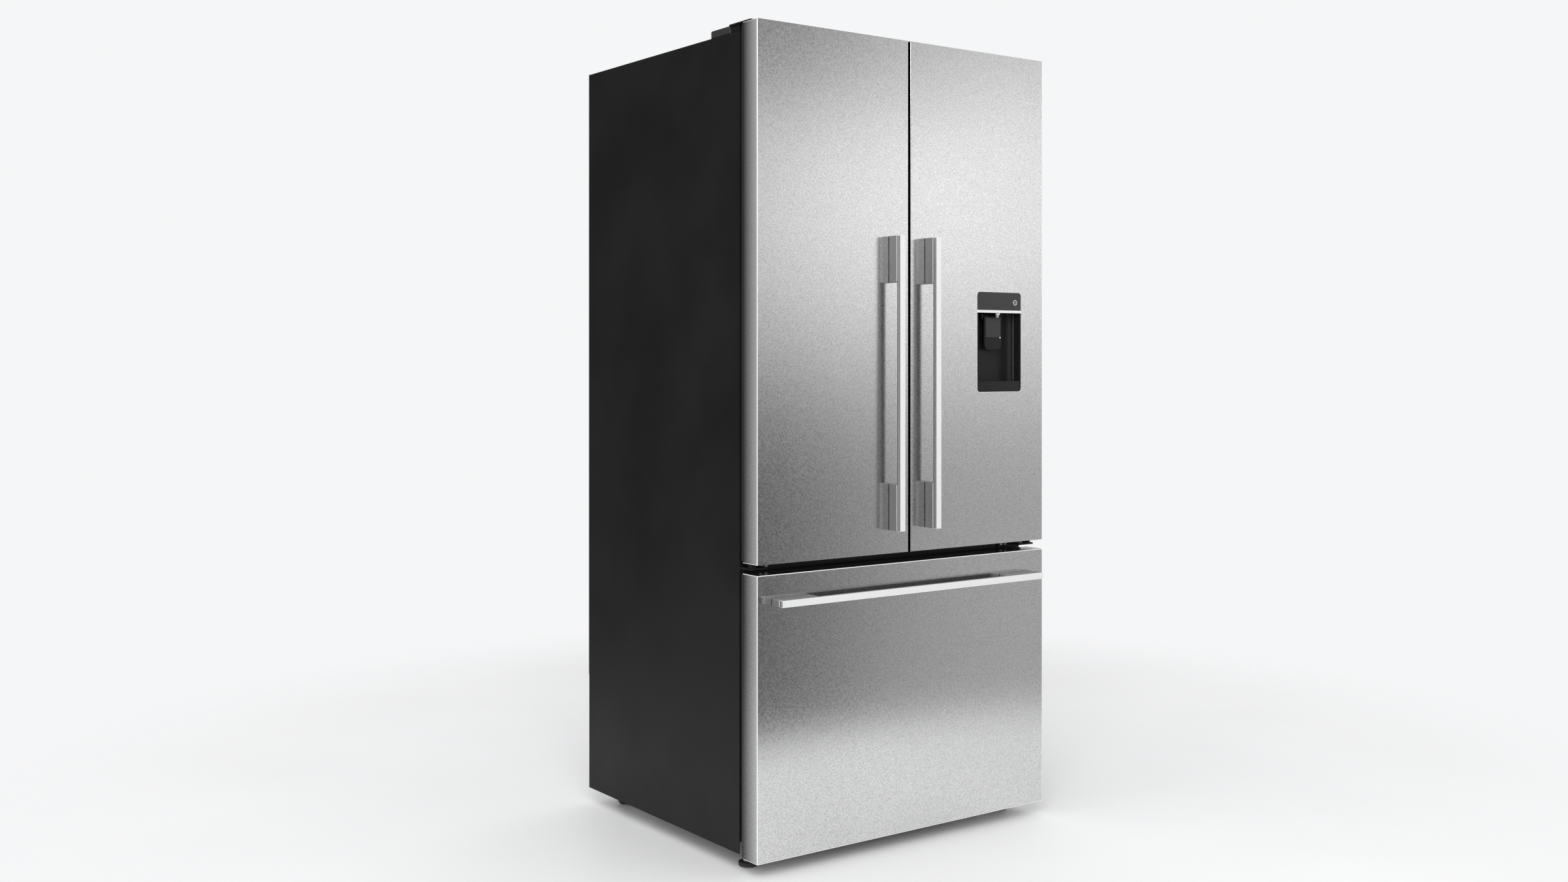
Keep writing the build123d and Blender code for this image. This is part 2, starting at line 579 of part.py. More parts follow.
with BuildPart() as dispenser_paddle:
    with BuildSketch(Plane.XZ.offset(-PADDLE_Y[1])) as tongue:
        with Locations((sum(PADDLE_X) / 2, sum(PADDLE_Z) / 2)):
            Rectangle(PADDLE_X[1] - PADDLE_X[0], PADDLE_Z[1] - PADDLE_Z[0])
        fillet(tongue.vertices().group_by(Axis.Y)[0], 10)
    extrude(amount=PADDLE_Y[1] - PADDLE_Y[0])
    block(PADDLE_X, (PADDLE_Y[0] - 1, PADDLE_Y[0] + 0.7), (1082.4, 1083.6), Mode.SUBTRACT)
    rod("x", PADDLE_X, PADDLE_PIVOT, 5)
    block(PADDLE_X, (PADDLE_Y[1] - 1, PADDLE_PIVOT[0]), (PADDLE_PIVOT[1] - 5, PADDLE_PIVOT[1]))
    rod("x", (LUGS[0][0] + 1, LUGS[1][1] - 1), PADDLE_PIVOT, 2)

with BuildPart() as lock_button:
    rod("y", (FRONT - 0.8, FRONT + 6), BUTTON_AT, BUTTON_R)
    fillet(lock_button.edges().group_by(Axis.Y)[0], 0.8)

with BuildPart() as drip_tray:
    tray_x = (RECESS_X[0] + 0.4, RECESS_X[1] - 0.4)
    sill_z = (DISP_Z[0] + 3.8, SILL_Z)
    with BuildSketch(Plane.XY.offset(sill_z[0])) as sill:
        with Locations((sum(tray_x) / 2, (FRONT + RECESS_BACK - 0.4) / 2)):
            Rectangle(tray_x[1] - tray_x[0], RECESS_BACK - 0.4 - FRONT)
        fillet(sill.vertices().group_by(Axis.Y)[-1], 12)
    extrude(amount=sill_z[1] - sill_z[0])
    with BuildSketch(Plane.XY.offset(SILL_Z)) as slots:
        with Locations((sum(tray_x) / 2, (FRONT + RECESS_BACK) / 2)):
            with GridLocations(10, 0, 11, 1):
                SlotOverall(20, 5, rotation=90)
    extrude(slots.sketch, amount=-8, mode=Mode.SUBTRACT)

# ---------------------------------------------------------------- freezer drawer

with BuildPart() as freezer_door_skin:
    block((-HALF, HALF), (FRONT, SKIN_BACK), DRAWER_Z)
    fillet(freezer_door_skin.edges().filter_by(Axis.Z).group_by(Axis.Y)[0], EDGE_R)
    pan_x = (-HALF + SHEET, HALF - SHEET)
    pan_z = (DRAWER_Z[0] + SHEET, DRAWER_Z[1] - SHEET)
    block(pan_x, (FRONT + SHEET, SKIN_BACK), pan_z, Mode.SUBTRACT)

with BuildPart() as freezer_door_foam:
    block(pan_x, (FRONT + SHEET, SKIN_BACK), pan_z)

with BuildPart() as freezer_door_liner:
    block(pan_x, (SKIN_BACK, LINER_BACK), pan_z)

with BuildPart() as freezer_door_gasket:
    seal_x = (-HALF + SEAL_INSET, HALF - SEAL_INSET)
    ring(seal_x, (LINER_BACK, SEAL_BACK), (66, 597), SEAL_WIDTH)

with BuildPart() as freezer_door_handle:
    grip_back = GRIP_FRONT + GRIP_THICK
    block((-DRAWER_GRIP_X, DRAWER_GRIP_X), (GRIP_FRONT, grip_back), DRAWER_GRIP_Z)
    fillet(freezer_door_handle.edges().filter_by(Axis.X), 1.5)
    for side in (-1, 1):
        post_x = across(side, DRAWER_GRIP_X - POST_LENGTH, DRAWER_GRIP_X)
        groove_z = (DRAWER_GRIP_Z[0] + 1.5, DRAWER_GRIP_Z[1] - 1.5)
        block(post_x, (grip_back, grip_back + GRIP_GROOVE), groove_z)
        block(post_x, (grip_back + GRIP_GROOVE, FRONT), DRAWER_GRIP_Z)

with BuildPart() as drawer_basket:
    tub((-BASKET_X, BASKET_X), BASKET_Y, BASKET_Z, 3)
    fillet(drawer_basket.edges().filter_by(Axis.Z).group_by(Axis.Y)[-1], 2.5)

with BuildPart() as drawer_arms:
    block((BASKET_X, BASKET_X + RAIL_THICK), (LINER_BACK, BASKET_Y[1] - 4), RAIL_Z)
    mirror(about=Plane.YZ)

mid_x = BASKET_X + RAIL_THICK + RAIL_GAP
with BuildPart() as drawer_mid_rails:
    block((mid_x, mid_x + RAIL_THICK), (-245, 70), (RAIL_Z[0] + 5, RAIL_Z[1] - 5))
    mirror(about=Plane.YZ)

with BuildPart() as drawer_fixed_rails:
    block((mid_x + RAIL_THICK + RAIL_GAP, cold_x), (-250, 90), RAIL_Z)
    mirror(about=Plane.YZ)

with BuildPart() as freezer_tray:
    tub((-BASKET_X + 1, BASKET_X - 1), TRAY_Y, TRAY_Z, 3)
    fillet(freezer_tray.edges().filter_by(Axis.Z).group_by(Axis.Y)[-1], 2.5)

# ---------------------------------------------------------------- screws

with BuildPart() as fasteners:
    for side in (-1, 1):
        for x in (328, 341):
            rod("y", (CASE_FRONT - 6, CASE_FRONT - 3.5), (side * x, 615.5), 4.5)
        for z in (340, 680, 1020, 1360, 1680):
            rod("y", (CASE_BACK + 2, REAR), (side * (CASE_HALF - 10), z), 4)

# ---------------------------------------------------------------- output

pieces = {
    "cabinet_wrapper": cabinet_wrapper,
    "cabinet_foam": cabinet_foam,
    "cross_rail": cross_rail,
    "fridge_liner": fridge_liner,
    "freezer_liner": freezer_liner,
    "rear_panel": rear_panel,
    "machine_cover": machine_cover,
    "base_frame": base_frame,
    "door_hinges": door_hinges,
    "hinge_covers": hinge_covers,
    "air_duct_cover": air_duct_cover,
    "led_light": led_light,
    "shelf_frames": shelf_frames,
    "shelf_glass": shelf_glass,
    "crisper_cover": crisper_cover,
    "crisper_left": crisper_left,
    "crisper_right": crisper_right,
    "freezer_back_cover": freezer_back_cover,
    "evaporator_unit": evaporator_unit,
    "evaporator_fan": evaporator_fan,
    "condenser_unit": condenser_unit,
    "condenser_fan": condenser_fan,
    "compressor": compressor,
    "left_foot": left_foot,
    "right_foot": right_foot,
    "left_roller": left_roller,
    "right_roller": right_roller,
    "left_door_skin": left_door_skin,
    "left_door_caps": left_door_caps,
    "left_door_foam": left_door_foam,
    "left_door_liner": left_door_liner,
    "left_door_gasket": left_door_gasket,
    "left_door_handle": left_door_handle,
    "left_door_bins": left_door_bins,
    "dairy_lid": dairy_lid,
    "mullion_flap": mullion_flap,
    "right_door_skin": right_door_skin,
    "right_door_caps": right_door_caps,
    "right_door_foam": right_door_foam,
    "right_door_liner": right_door_liner,
    "right_door_gasket": right_door_gasket,
    "right_door_handle": right_door_handle,
    "right_door_bins": right_door_bins,
    "dispenser_housing": dispenser_housing,
    "dispenser_trim": dispenser_trim,
    "dispenser_nozzle": dispenser_nozzle,
    "dispenser_paddle": dispenser_paddle,
    "lock_button": lock_button,
    "drip_tray": drip_tray,
    "freezer_door_skin": freezer_door_skin,
    "freezer_door_foam": freezer_door_foam,
    "freezer_door_liner": freezer_door_liner,
    "freezer_door_gasket": freezer_door_gasket,
    "freezer_door_handle": freezer_door_handle,
    "drawer_basket": drawer_basket,
    "drawer_arms": drawer_arms,
    "drawer_mid_rails": drawer_mid_rails,
    "drawer_fixed_rails": drawer_fixed_rails,
    "freezer_tray": freezer_tray,
    "fasteners": fasteners,
}

os.makedirs("parts", exist_ok=True)
for name, piece in pieces.items():
    piece.part.label = name
    export_step(piece.part, f"parts/{name}.step")
print(len(pieces), "pieces written")
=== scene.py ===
"""The looks of a french door refrigerator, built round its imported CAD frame.

Metres, +Z up, doors facing -Y; MM turns millimetres into metres. Places come from the CAD nodes' boxes,
or are named values that match the CAD where a node's box doesn't show them.
"""

import math

import bmesh
import bpy
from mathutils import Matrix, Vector


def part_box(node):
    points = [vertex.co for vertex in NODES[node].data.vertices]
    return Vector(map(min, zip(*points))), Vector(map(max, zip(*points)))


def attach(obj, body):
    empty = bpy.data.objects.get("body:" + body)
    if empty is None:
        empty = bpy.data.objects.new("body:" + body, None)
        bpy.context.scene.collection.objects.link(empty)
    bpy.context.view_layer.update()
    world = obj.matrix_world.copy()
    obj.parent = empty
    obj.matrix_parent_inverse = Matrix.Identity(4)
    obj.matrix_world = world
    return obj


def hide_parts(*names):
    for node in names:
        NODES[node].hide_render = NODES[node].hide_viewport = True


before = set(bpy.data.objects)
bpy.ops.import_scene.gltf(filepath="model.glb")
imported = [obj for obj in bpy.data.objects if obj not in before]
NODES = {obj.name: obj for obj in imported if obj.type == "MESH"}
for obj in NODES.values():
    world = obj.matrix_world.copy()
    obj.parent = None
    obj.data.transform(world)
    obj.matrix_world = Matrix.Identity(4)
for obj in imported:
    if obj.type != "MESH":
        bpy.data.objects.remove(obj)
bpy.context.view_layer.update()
MM = 0.001
SHARP = math.radians(32)  # a turn that shades as an edge
BREAK_ANGLE = math.radians(40)  # a turn that soften() rounds
WELD_GAP = 0.002 * MM
LEAST_RADIUS = 0.15 * MM
LEAST_FLOOR_RADIUS = 1 * MM
FINE_EDGE, SOFT_EDGE = 0.2 * MM, 0.8 * MM  # radii of the edges of small and of common blocks


# ---------------------------------------------------------------- mesh tools


def bend(start, end, along_first, steps=5):
    """Points on a quarter turn between two (inset, along) stations, without the first point."""
    points = []
    for i in range(1, steps + 1):
        t = math.pi / 2 * i / steps
        slow, quick = 1 - math.cos(t), math.sin(t)
        a, b = (slow, quick) if along_first else (quick, slow)
        points.append((start[0] + (end[0] - start[0]) * a, start[1] + (end[1] - start[1]) * b))
    return points


def outline(u, v, inset, radius, steps):
    """A rounded rectangle's points; radius is one number or one for each corner, from (high, high) round."""
    points = []
    corners = ((u[1], v[1], 1, 1), (u[0], v[1], -1, 1), (u[0], v[0], -1, -1), (u[1], v[0], 1, -1))
    for turn, (cu, cv, su, sv) in enumerate(corners):
        r = radius[turn] if isinstance(radius, tuple) else radius
        r = min(max(r - inset, LEAST_RADIUS), (u[1] - u[0]) / 2 - inset, (v[1] - v[0]) / 2 - inset)
        for i in range(steps + 1):
            t = math.pi / 2 * (turn + i / steps)
            centre_u, centre_v = cu - su * (inset + r), cv - sv * (inset + r)
            points.append((centre_u + r * math.cos(t), centre_v + r * math.sin(t)))
    return points


def point_on(axis, a, b, along):
    """A point from its two cross coordinates and its place along the axis."""
    return {"x": (along, a, b), "y": (a, along, b), "z": (a, b, along)}[axis]


def skin(axis, loops, closed=False):
    """A closed shell through loops of (points, place along the axis) that all have the same count."""
    bm = bmesh.new()
    rings = [[bm.verts.new(point_on(axis, a, b, along)) for a, b in points] for points, along in loops]
    pairs = list(zip(rings, rings[1:]))
    if closed:
        pairs.append((rings[-1], rings[0]))
    count = len(rings[0])
    for low, high in pairs:
        for i in range(count):
            j = (i + 1) % count
            bm.faces.new((low[i], low[j], high[j], high[i]))
    if not closed:
        bm.faces.new(rings[0][::-1])
        bm.faces.new(rings[-1])
    return bm


def stack(axis, u, v, stations, radius, steps=6, closed=False):
    """A shell through rounded rectangles; each station is (inset, place along the axis)."""
    loops = [(outline(u, v, inset, radius, steps), along) for inset, along in stations]
    return skin(axis, loops, closed)


def brick(lo, hi, r, steps=3):
    """A box with every edge rounded, between two opposite corners in any order."""
    x, y, z = [tuple(sorted(ends)) for ends in zip(lo, hi)]
    stations = [(r, z[0]), *bend((r, z[0]), (0, z[0] + r), False, steps)]
    stations += [(0, z[1] - r), *bend((0, z[1] - r), (r, z[1]), True, steps)]
    return stack("z", x, y, stations, r, steps)


def front_plate(x, z, back, front, corner, edge):
    """A plate that faces the front, with its front rim softened."""
    stations = [(0, back), (0, front + edge), *bend((0, front + edge), (edge, front), True, 3)]
    return stack("y", x, z, stations, corner, 8)


def rear_plate(x, z, front, back, corner, edge):
    """A plate that faces the back, with its rear rim softened."""
    stations = [(0, front), (0, back - edge), *bend((0, back - edge), (edge, back), True, 3)]
    return stack("y", x, z, stations, corner)


def disc(axis, centre, r, span, edge, steps=9):
    """A round slab or rod with softened rims."""
    u, v = ((c - r, c + r) for c in centre)
    stations = [(edge, span[0]), *bend((edge, span[0]), (0, span[0] + edge), False, 3)]
    stations += [(0, span[1] - edge), *bend((0, span[1] - edge), (edge, span[1]), True, 3)]
    return stack(axis, u, v, stations, r, steps)


def lathe(axis, centre, profile, closed=False, steps=9):
    """A turned shell through (radius, along) points; closed joins the last to the first."""
    loops = []
    for r, along in profile:
        u, v = ((c - r, c + r) for c in centre)
        loops.append((outline(u, v, 0, r, steps), along))
    return skin(axis, loops, closed)


def prism(axis, points, lo, hi):
    """A flat outline carried along an axis."""
    return skin(axis, [(points, lo), (points, hi)])


def opening_frame(axis, outer, inner, span, outer_r, inner_r, steps=6):
    """A flat frame: outer and inner are (u, v) ranges that needn't be concentric."""
    out, hole = outline(*outer, 0, outer_r, steps), outline(*inner, 0, inner_r, steps)
    return skin(axis, [(out, span[0]), (out, span[1]), (hole, span[1]), (hole, span[0])], closed=True)


def tub_shell(x, y, z, wall, corner, floor_r):
    """An open-topped moulding: outside, rounded rim, inside and floor in one closed skin."""
    inner = wall + max(floor_r - wall, LEAST_FLOOR_RADIUS)
    half = wall / 2
    stations = [(floor_r, z[0]), *bend((floor_r, z[0]), (0, z[0] + floor_r), False)]
    stations += [(0, z[1] - half), *bend((0, z[1] - half), (half, z[1]), True, 3)]
    stations += [*bend((half, z[1]), (wall, z[1] - half), False, 3)]
    stations += [(wall, z[0] + inner), *bend((wall, z[0] + inner), (inner, z[0] + wall), True)]
    return stack("z", x, y, stations, corner)


def room_shell(x, z, front, back, wall, corner):
    """A moulded compartment, open at the front, with rounded corners inside."""
    stations = [(corner - wall, back), *bend((corner - wall, back), (-wall, back - corner), False)]
    stations += [(-wall, front), (0, front)]
    stations += [(0, back - wall - corner), *bend((0, back - wall - corner), (corner, back - wall), True)]
    return stack("y", x, z, stations, corner, 8)


class Piece:
    """Collects shells into one mesh that rides on a CAD body."""

    def __init__(self, name, body, slot, replaces=()):
        self.name, self.body, self.slot, self.replaces = name, body, slot, replaces
        self.bm = bmesh.new()
        self.materials = []

    def index(self, material):
        """The material's slot number; a new material gets the next slot."""
        if material not in self.materials:
            self.materials.append(material)
        return self.materials.index(material)

    def add(self, shell, material):
        """Takes in a shell; material is one material or a function from a face to one."""
        bmesh.ops.remove_doubles(shell, verts=shell.verts, dist=WELD_GAP)
        bmesh.ops.recalc_face_normals(shell, faces=shell.faces)
        for face in shell.faces:
            face.material_index = self.index(material(face) if callable(material) else material)
        held = bpy.data.meshes.new("held")
        shell.to_mesh(held)
        self.bm.from_mesh(held)
        bpy.data.meshes.remove(held)
        shell.free()
        return self

    def place(self, cutters=()):
        """Makes the object, cuts it, softens its shading, hangs it on its body's empty and hides the CAD
        nodes it stands for.
        """
        mesh = bpy.data.meshes.new(self.name)
        self.bm.to_mesh(mesh)
        self.bm.free()
        for material in self.materials:
            mesh.materials.append(material)
        obj = bpy.data.objects.new(self.name, mesh)
        bpy.context.scene.collection.objects.link(obj)
        for cutter in cutters:
            cut(obj, cutter)
        shade(obj.data)
        weigh = obj.modifiers.new("weigh", "WEIGHTED_NORMAL")
        weigh.keep_sharp = True
        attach(obj, self.body)
        if self.replaces:
            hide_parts(*self.replaces)


def cut(obj, cutter):
    """Takes a shell's volume out of an object for good."""
    bmesh.ops.recalc_face_normals(cutter, faces=cutter.faces)
    mesh = bpy.data.meshes.new("cutter")
    cutter.to_mesh(mesh)
    cutter.free()
    tool = bpy.data.objects.new("cutter", mesh)
    bpy.context.scene.collection.objects.link(tool)
    knife = obj.modifiers.new("cut", "BOOLEAN")
    knife.operation, knife.solver, knife.object = "DIFFERENCE", "EXACT", tool
    result = bpy.data.meshes.new_from_object(obj.evaluated_get(bpy.context.evaluated_depsgraph_get()))
    obj.modifiers.clear()
    obj.data = result
    bpy.data.objects.remove(tool)


def shade(mesh):
    """Smooth shading that breaks at real edges."""
    bm = bmesh.new()
    bm.from_mesh(mesh)
    for face in bm.faces:
        face.smooth = True
    for edge in bm.edges:
        edge.smooth = edge.is_manifold and edge.calc_face_angle(0) < SHARP
    bm.to_mesh(mesh)
    bm.free()


def soften(node, width):
    """Gives a CAD node's real edges a small rounded break; its own mesh stays as it is."""
    obj = NODES[node]
    weld = obj.modifiers.new("weld", "WELD")
    weld.merge_threshold = WELD_GAP
    edge = obj.modifiers.new("edge", "BEVEL")
    edge.width, edge.segments, edge.limit_method = width, 2, "ANGLE"
    edge.angle_limit = BREAK_ANGLE
    edge.harden_normals = True


# ---------------------------------------------------------------- materials


class Look:
    """A Principled material whose colour, roughness and relief come from object-space patterns."""

    def __init__(self, name, roughness=0.5, metallic=0.0, **sockets):
        self.mat = bpy.data.materials.new(name)
        self.mat.use_nodes = True
        self.tree = self.mat.node_tree
        self.bsdf = self.tree.nodes["Principled BSDF"]
        self.bsdf.inputs["Roughness"].default_value = roughness
        self.bsdf.inputs["Metallic"].default_value = metallic
        for socket, value in sockets.items():
            self.bsdf.inputs[socket.replace("_", " ")].default_value = value
        self.coord = self.tree.nodes.new("ShaderNodeTexCoord").outputs["Object"]

    def node(self, kind, **values):
        """A new shader node with some of its settings."""
        made = self.tree.nodes.new(kind)
        for key, value in values.items():
            setattr(made, key, value)
        return made

    def link(self, a, b):
        self.tree.links.new(a, b)

    def noise(self, scale, detail=2.0, stretch=(1, 1, 1)):
        """A noise field from 0 to 1, about one blot in 1/scale metres."""
        mapping = self.node("ShaderNodeMapping")
        mapping.inputs["Scale"].default_value = stretch
        self.link(self.coord, mapping.inputs["Vector"])
        field = self.node("ShaderNodeTexNoise")
        field.inputs["Scale"].default_value = scale
        field.inputs["Detail"].default_value = detail
        self.link(mapping.outputs["Vector"], field.inputs["Vector"])
        return field.outputs["Fac"]

    def ramp(self, field, low, high, start=0.35, stop=0.65, kind="LINEAR"):
        """Maps a field's stretch from start to stop on to low to high, and holds both beyond it."""
        spread = self.node("ShaderNodeMapRange", interpolation_type=kind)
        for socket, value in (("From Min", start), ("From Max", stop), ("To Min", low), ("To Max", high)):
            spread.inputs[socket].default_value = value
        self.link(field, spread.inputs["Value"])
        return spread.outputs["Result"]

    def mix(self, factor, first, second):
        """A colour between two; each is a colour or an output."""
        blend = self.node("ShaderNodeMix", data_type="RGBA")
        self.link(factor, blend.inputs["Factor"])
        for socket, value in (("A", first), ("B", second)):
            target = [i for i in blend.inputs if i.name == socket and i.type == "RGBA"][0]
            if isinstance(value, (tuple, list)):
                target.default_value = (*value, 1)
            else:
                self.link(value, target)
        return [o for o in blend.outputs if o.type == "RGBA"][0]

    def colour(self, source):
        self.link(source, self.bsdf.inputs["Base Color"])
        return self

    def rough(self, source):
        self.link(source, self.bsdf.inputs["Roughness"])
        return self

    def bump(self, field, strength, depth):
        """Relief from a field."""
        relief = self.node("ShaderNodeBump")
        relief.inputs["Strength"].default_value = strength
        relief.inputs["Distance"].default_value = depth
        self.link(field, relief.inputs["Height"])
        self.link(relief.outputs["Normal"], self.bsdf.inputs["Normal"])
        return self


def grey(value, warm=0.0):
    """A grey, with red raised and blue lowered by the share warm."""
    return (value * (1 + warm), value, value * (1 - warm))


STEEL_GRAIN = 760  # blots per metre
STEEL_FLECKS = 260


def satin_steel(name="satin_steel", low=0.46, high=0.86):
    """Satin stainless sheet: a fine pebbled grain, and a gloss that spreads more sideways than upright."""
    look = Look(name, metallic=1.0, Anisotropic=0.6)
    around = look.node("ShaderNodeTangent", direction_type="RADIAL", axis="Z")
    look.link(around.outputs["Tangent"], look.bsdf.inputs["Tangent"])
    grain = look.noise(STEEL_GRAIN)
    flecks = look.noise(STEEL_FLECKS)
    broad = look.noise(3.0, 1.0)
    fine = look.mix(look.ramp(grain, 0, 1), grey(low), grey(high))
    flecked = look.mix(look.ramp(flecks, 0, 0.4, 0.4, 0.7), fine, grey(high))
    look.colour(look.mix(look.ramp(broad, 0, 0.10), flecked, grey(low * 1.15)))
    look.rough(look.ramp(flecks, 0.16, 0.20))
    return look.bump(grain, 0.05, 0.05 * MM).mat


def side_steel_painted_shade(shade_start, shade_end):
    """The doors' outer side walls: steel with painted shade that darkens it towards the case, from one Y to
    another.
    """
    look = Look("side_steel_painted_shade", metallic=0.3)
    grain = look.noise(STEEL_GRAIN)
    apart = look.node("ShaderNodeSeparateXYZ")
    look.link(look.coord, apart.inputs[0])
    # Painted shade: the steel is full at the first Y and near black at the second
    painted_lit = look.ramp(apart.outputs["Y"], 1, 0, shade_start, shade_end)
    bright = look.mix(look.ramp(grain, 0, 1), grey(0.36), grey(0.50))
    look.colour(look.mix(painted_lit, grey(0.015), bright))
    return look.rough(look.ramp(grain, 0.24, 0.32)).mat


def bright_bar(name, low, high, metallic, gloss):
    """Bar stock with a fine lengthwise grain."""
    look = Look(name, metallic=metallic)
    lines = look.noise(260, 3.0, (12, 12, 0.25))
    cross = look.noise(260, 3.0, (0.25, 12, 12))
    look.colour(look.mix(look.ramp(lines, 0, 1), grey(low), grey(high)))
    look.rough(look.ramp(cross, gloss, gloss + 0.1))
    return look.bump(lines, 0.04, 0.05 * MM).mat


def cast_grey():
    """Blasted cast metal of the grip posts."""
    look = Look("cast_grey", metallic=0.85)
    grain = look.noise(700, 4.0)
    look.colour(look.mix(look.ramp(grain, 0, 1), grey(0.26), grey(0.46)))
    look.rough(look.ramp(grain, 0.42, 0.60))
    return look.bump(grain, 0.25, 0.1 * MM).mat


def enamel(name, tone, gloss):
    """Baked enamel with a slight orange peel, and a tone and gloss that drift a little."""
    look = Look(name, Specular_IOR_Level=0.22)
    peel = look.noise(420, 2.0)
    haze = look.noise(5.0, 4.0)
    look.colour(look.mix(look.ramp(haze, 0, 1), grey(tone), grey(tone * 1.35, 0.01)))
    look.rough(look.ramp(haze, gloss, gloss + 0.12))
    return look.bump(peel, 0.12, 0.08 * MM).mat


def moulded(name, tone, gloss, texture, relief, **sockets):
    """Moulded plastic: fine texture, with gloss and tone that drift a little over the surface."""
    look = Look(name, **sockets)
    grain = look.noise(texture, 3.0)
    drift = look.noise(7.0, 3.0)
    look.colour(look.mix(look.ramp(drift, 0, 1), grey(tone), grey(tone * 1.08 + 0.003)))
    look.rough(look.ramp(grain, gloss, gloss + 0.12))
    return look.bump(grain, relief, 0.06 * MM).mat


def rubber():
    """Matt dark rubber with dust on it."""
    look = Look("seal_rubber", Sheen_Weight=0.15)
    grain = look.noise(600)
    dust = look.noise(30, 4.0)
    look.colour(look.mix(look.ramp(dust, 0, 1), grey(0.045), grey(0.08)))
    look.rough(look.ramp(grain, 0.55, 0.75))
    return look.bump(grain, 0.2, 0.08 * MM).mat


def zinc():
    """Galvanised sheet with faint spangle."""
    look = Look("zinc", metallic=0.9)
    spangle = look.node("ShaderNodeTexVoronoi")
    spangle.inputs["Scale"].default_value = 120
    look.link(look.coord, spangle.inputs["Vector"])
    split = look.node("ShaderNodeSeparateColor")
    look.link(spangle.outputs["Color"], split.inputs["Color"])
    look.colour(look.mix(look.ramp(split.outputs["Red"], 0, 1, 0, 1), grey(0.40), grey(0.48)))
    look.rough(look.ramp(split.outputs["Green"], 0.38, 0.50, 0, 1))
    return look.bump(look.noise(300, 2.0), 0.06, 0.05 * MM).mat


def see_through(name, tint, alpha, gloss, rim):
    """Clear moulding or glass: a light tint that thickens to a rim colour at glancing angles."""
    look = Look(name, IOR=1.5)
    facing = look.node("ShaderNodeLayerWeight")
    facing.inputs["Blend"].default_value = 0.35
    wisps = look.noise(9.0, 2.0)
    pale = tuple(min(1.0, c * 1.03) for c in tint)
    look.colour(look.mix(facing.outputs["Facing"], look.mix(look.ramp(wisps, 0, 1), tint, pale), rim))
    density = look.ramp(facing.outputs["Facing"], alpha, min(1.0, alpha + 0.45), 0, 1)
    look.link(density, look.bsdf.inputs["Alpha"])
    look.rough(look.ramp(wisps, gloss, gloss + 0.02))
    return look.mat


def chrome():
    """Bright plated metal with a faint haze."""
    look = Look("bright_trim", metallic=1.0)
    haze = look.noise(40, 2.0)
    look.colour(look.mix(look.ramp(haze, 0, 1), grey(0.90), grey(0.95)))
    return look.rough(look.ramp(haze, 0.10, 0.18)).mat


def bare_metal(name, low, high, gloss):
    """Unfinished sheet metal with rolling streaks."""
    look = Look(name, metallic=1.0)
    streaks = look.noise(120, 3.0, (1, 1, 4))
    look.colour(look.mix(look.ramp(streaks, 0, 1), low, high))
    return look.rough(look.ramp(streaks, gloss, gloss + 0.15)).bump(streaks, 0.08, 0.05 * MM).mat


def printed_white_and_painted_light():
    """White print on black plastic; the paddle's white dot also uses it, as painted light."""
    look = Look("printed_white_and_painted_light", Specular_IOR_Level=0.2)
    ink = look.noise(900, 2.0)
    look.colour(look.mix(look.ramp(ink, 0, 1), grey(0.80), grey(0.95)))
    return look.rough(look.ramp(ink, 0.4, 0.5)).mat


def foam():
    """Yellow insulation foam with open cells."""
    look = Look("rigid_foam")
    cells = look.noise(250, 5.0)
    look.colour(look.mix(look.ramp(cells, 0, 1), (0.62, 0.50, 0.26), (0.80, 0.70, 0.45)))
    return look.rough(look.ramp(cells, 0.8, 0.95)).bump(cells, 0.5, 0.3 * MM).mat


DOOR_FRONT, DOOR_REAR = (corner.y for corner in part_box("left_door_skin"))
# Where the painted shade on the doors' outer side walls begins
PAINTED_SHADE_START = DOOR_FRONT + 0.1 * (DOOR_REAR - DOOR_FRONT)

STEEL = satin_steel()
PAINTED_SHADE_SIDE_STEEL = side_steel_painted_shade(PAINTED_SHADE_START, DOOR_REAR)
# Painted shade: near-black steel for the sheet walls in the gap between the doors
PAINTED_SHADE_GAP_STEEL = satin_steel("painted_shade_gap_steel", 0.022, 0.03)
# Painted highlight: pale, half-diffuse steel for rounded edges and rims, so they show as bright lines
EDGE_STEEL_PAINTED_HIGHLIGHT = bright_bar("edge_steel_painted_highlight", 0.90, 0.97, 0.35, 0.32)
# A bright and a dark copy of the bar steel for the grip's front and its other faces: partly the bar's two
# finishes, partly painted light and painted shade
GRIP = bright_bar("grip_face", 0.84, 0.93, 0.35, 0.34)
GRIP_SIDE_TONE_AND_PAINTED_LIGHT = bright_bar("grip_side_tone_and_painted_light", 0.13, 0.22, 0.9, 0.38)
POST = cast_grey()
CASE = enamel("case_enamel", 0.010, 0.46)
BLACK_ENAMEL = enamel("black_enamel", 0.010, 0.35)
WHITE = moulded("liner_white", 0.80, 0.22, 500, 0.04, Coat_Weight=0.2)
CAP = moulded("cap_grey", 0.030, 0.48, 700, 0.2)
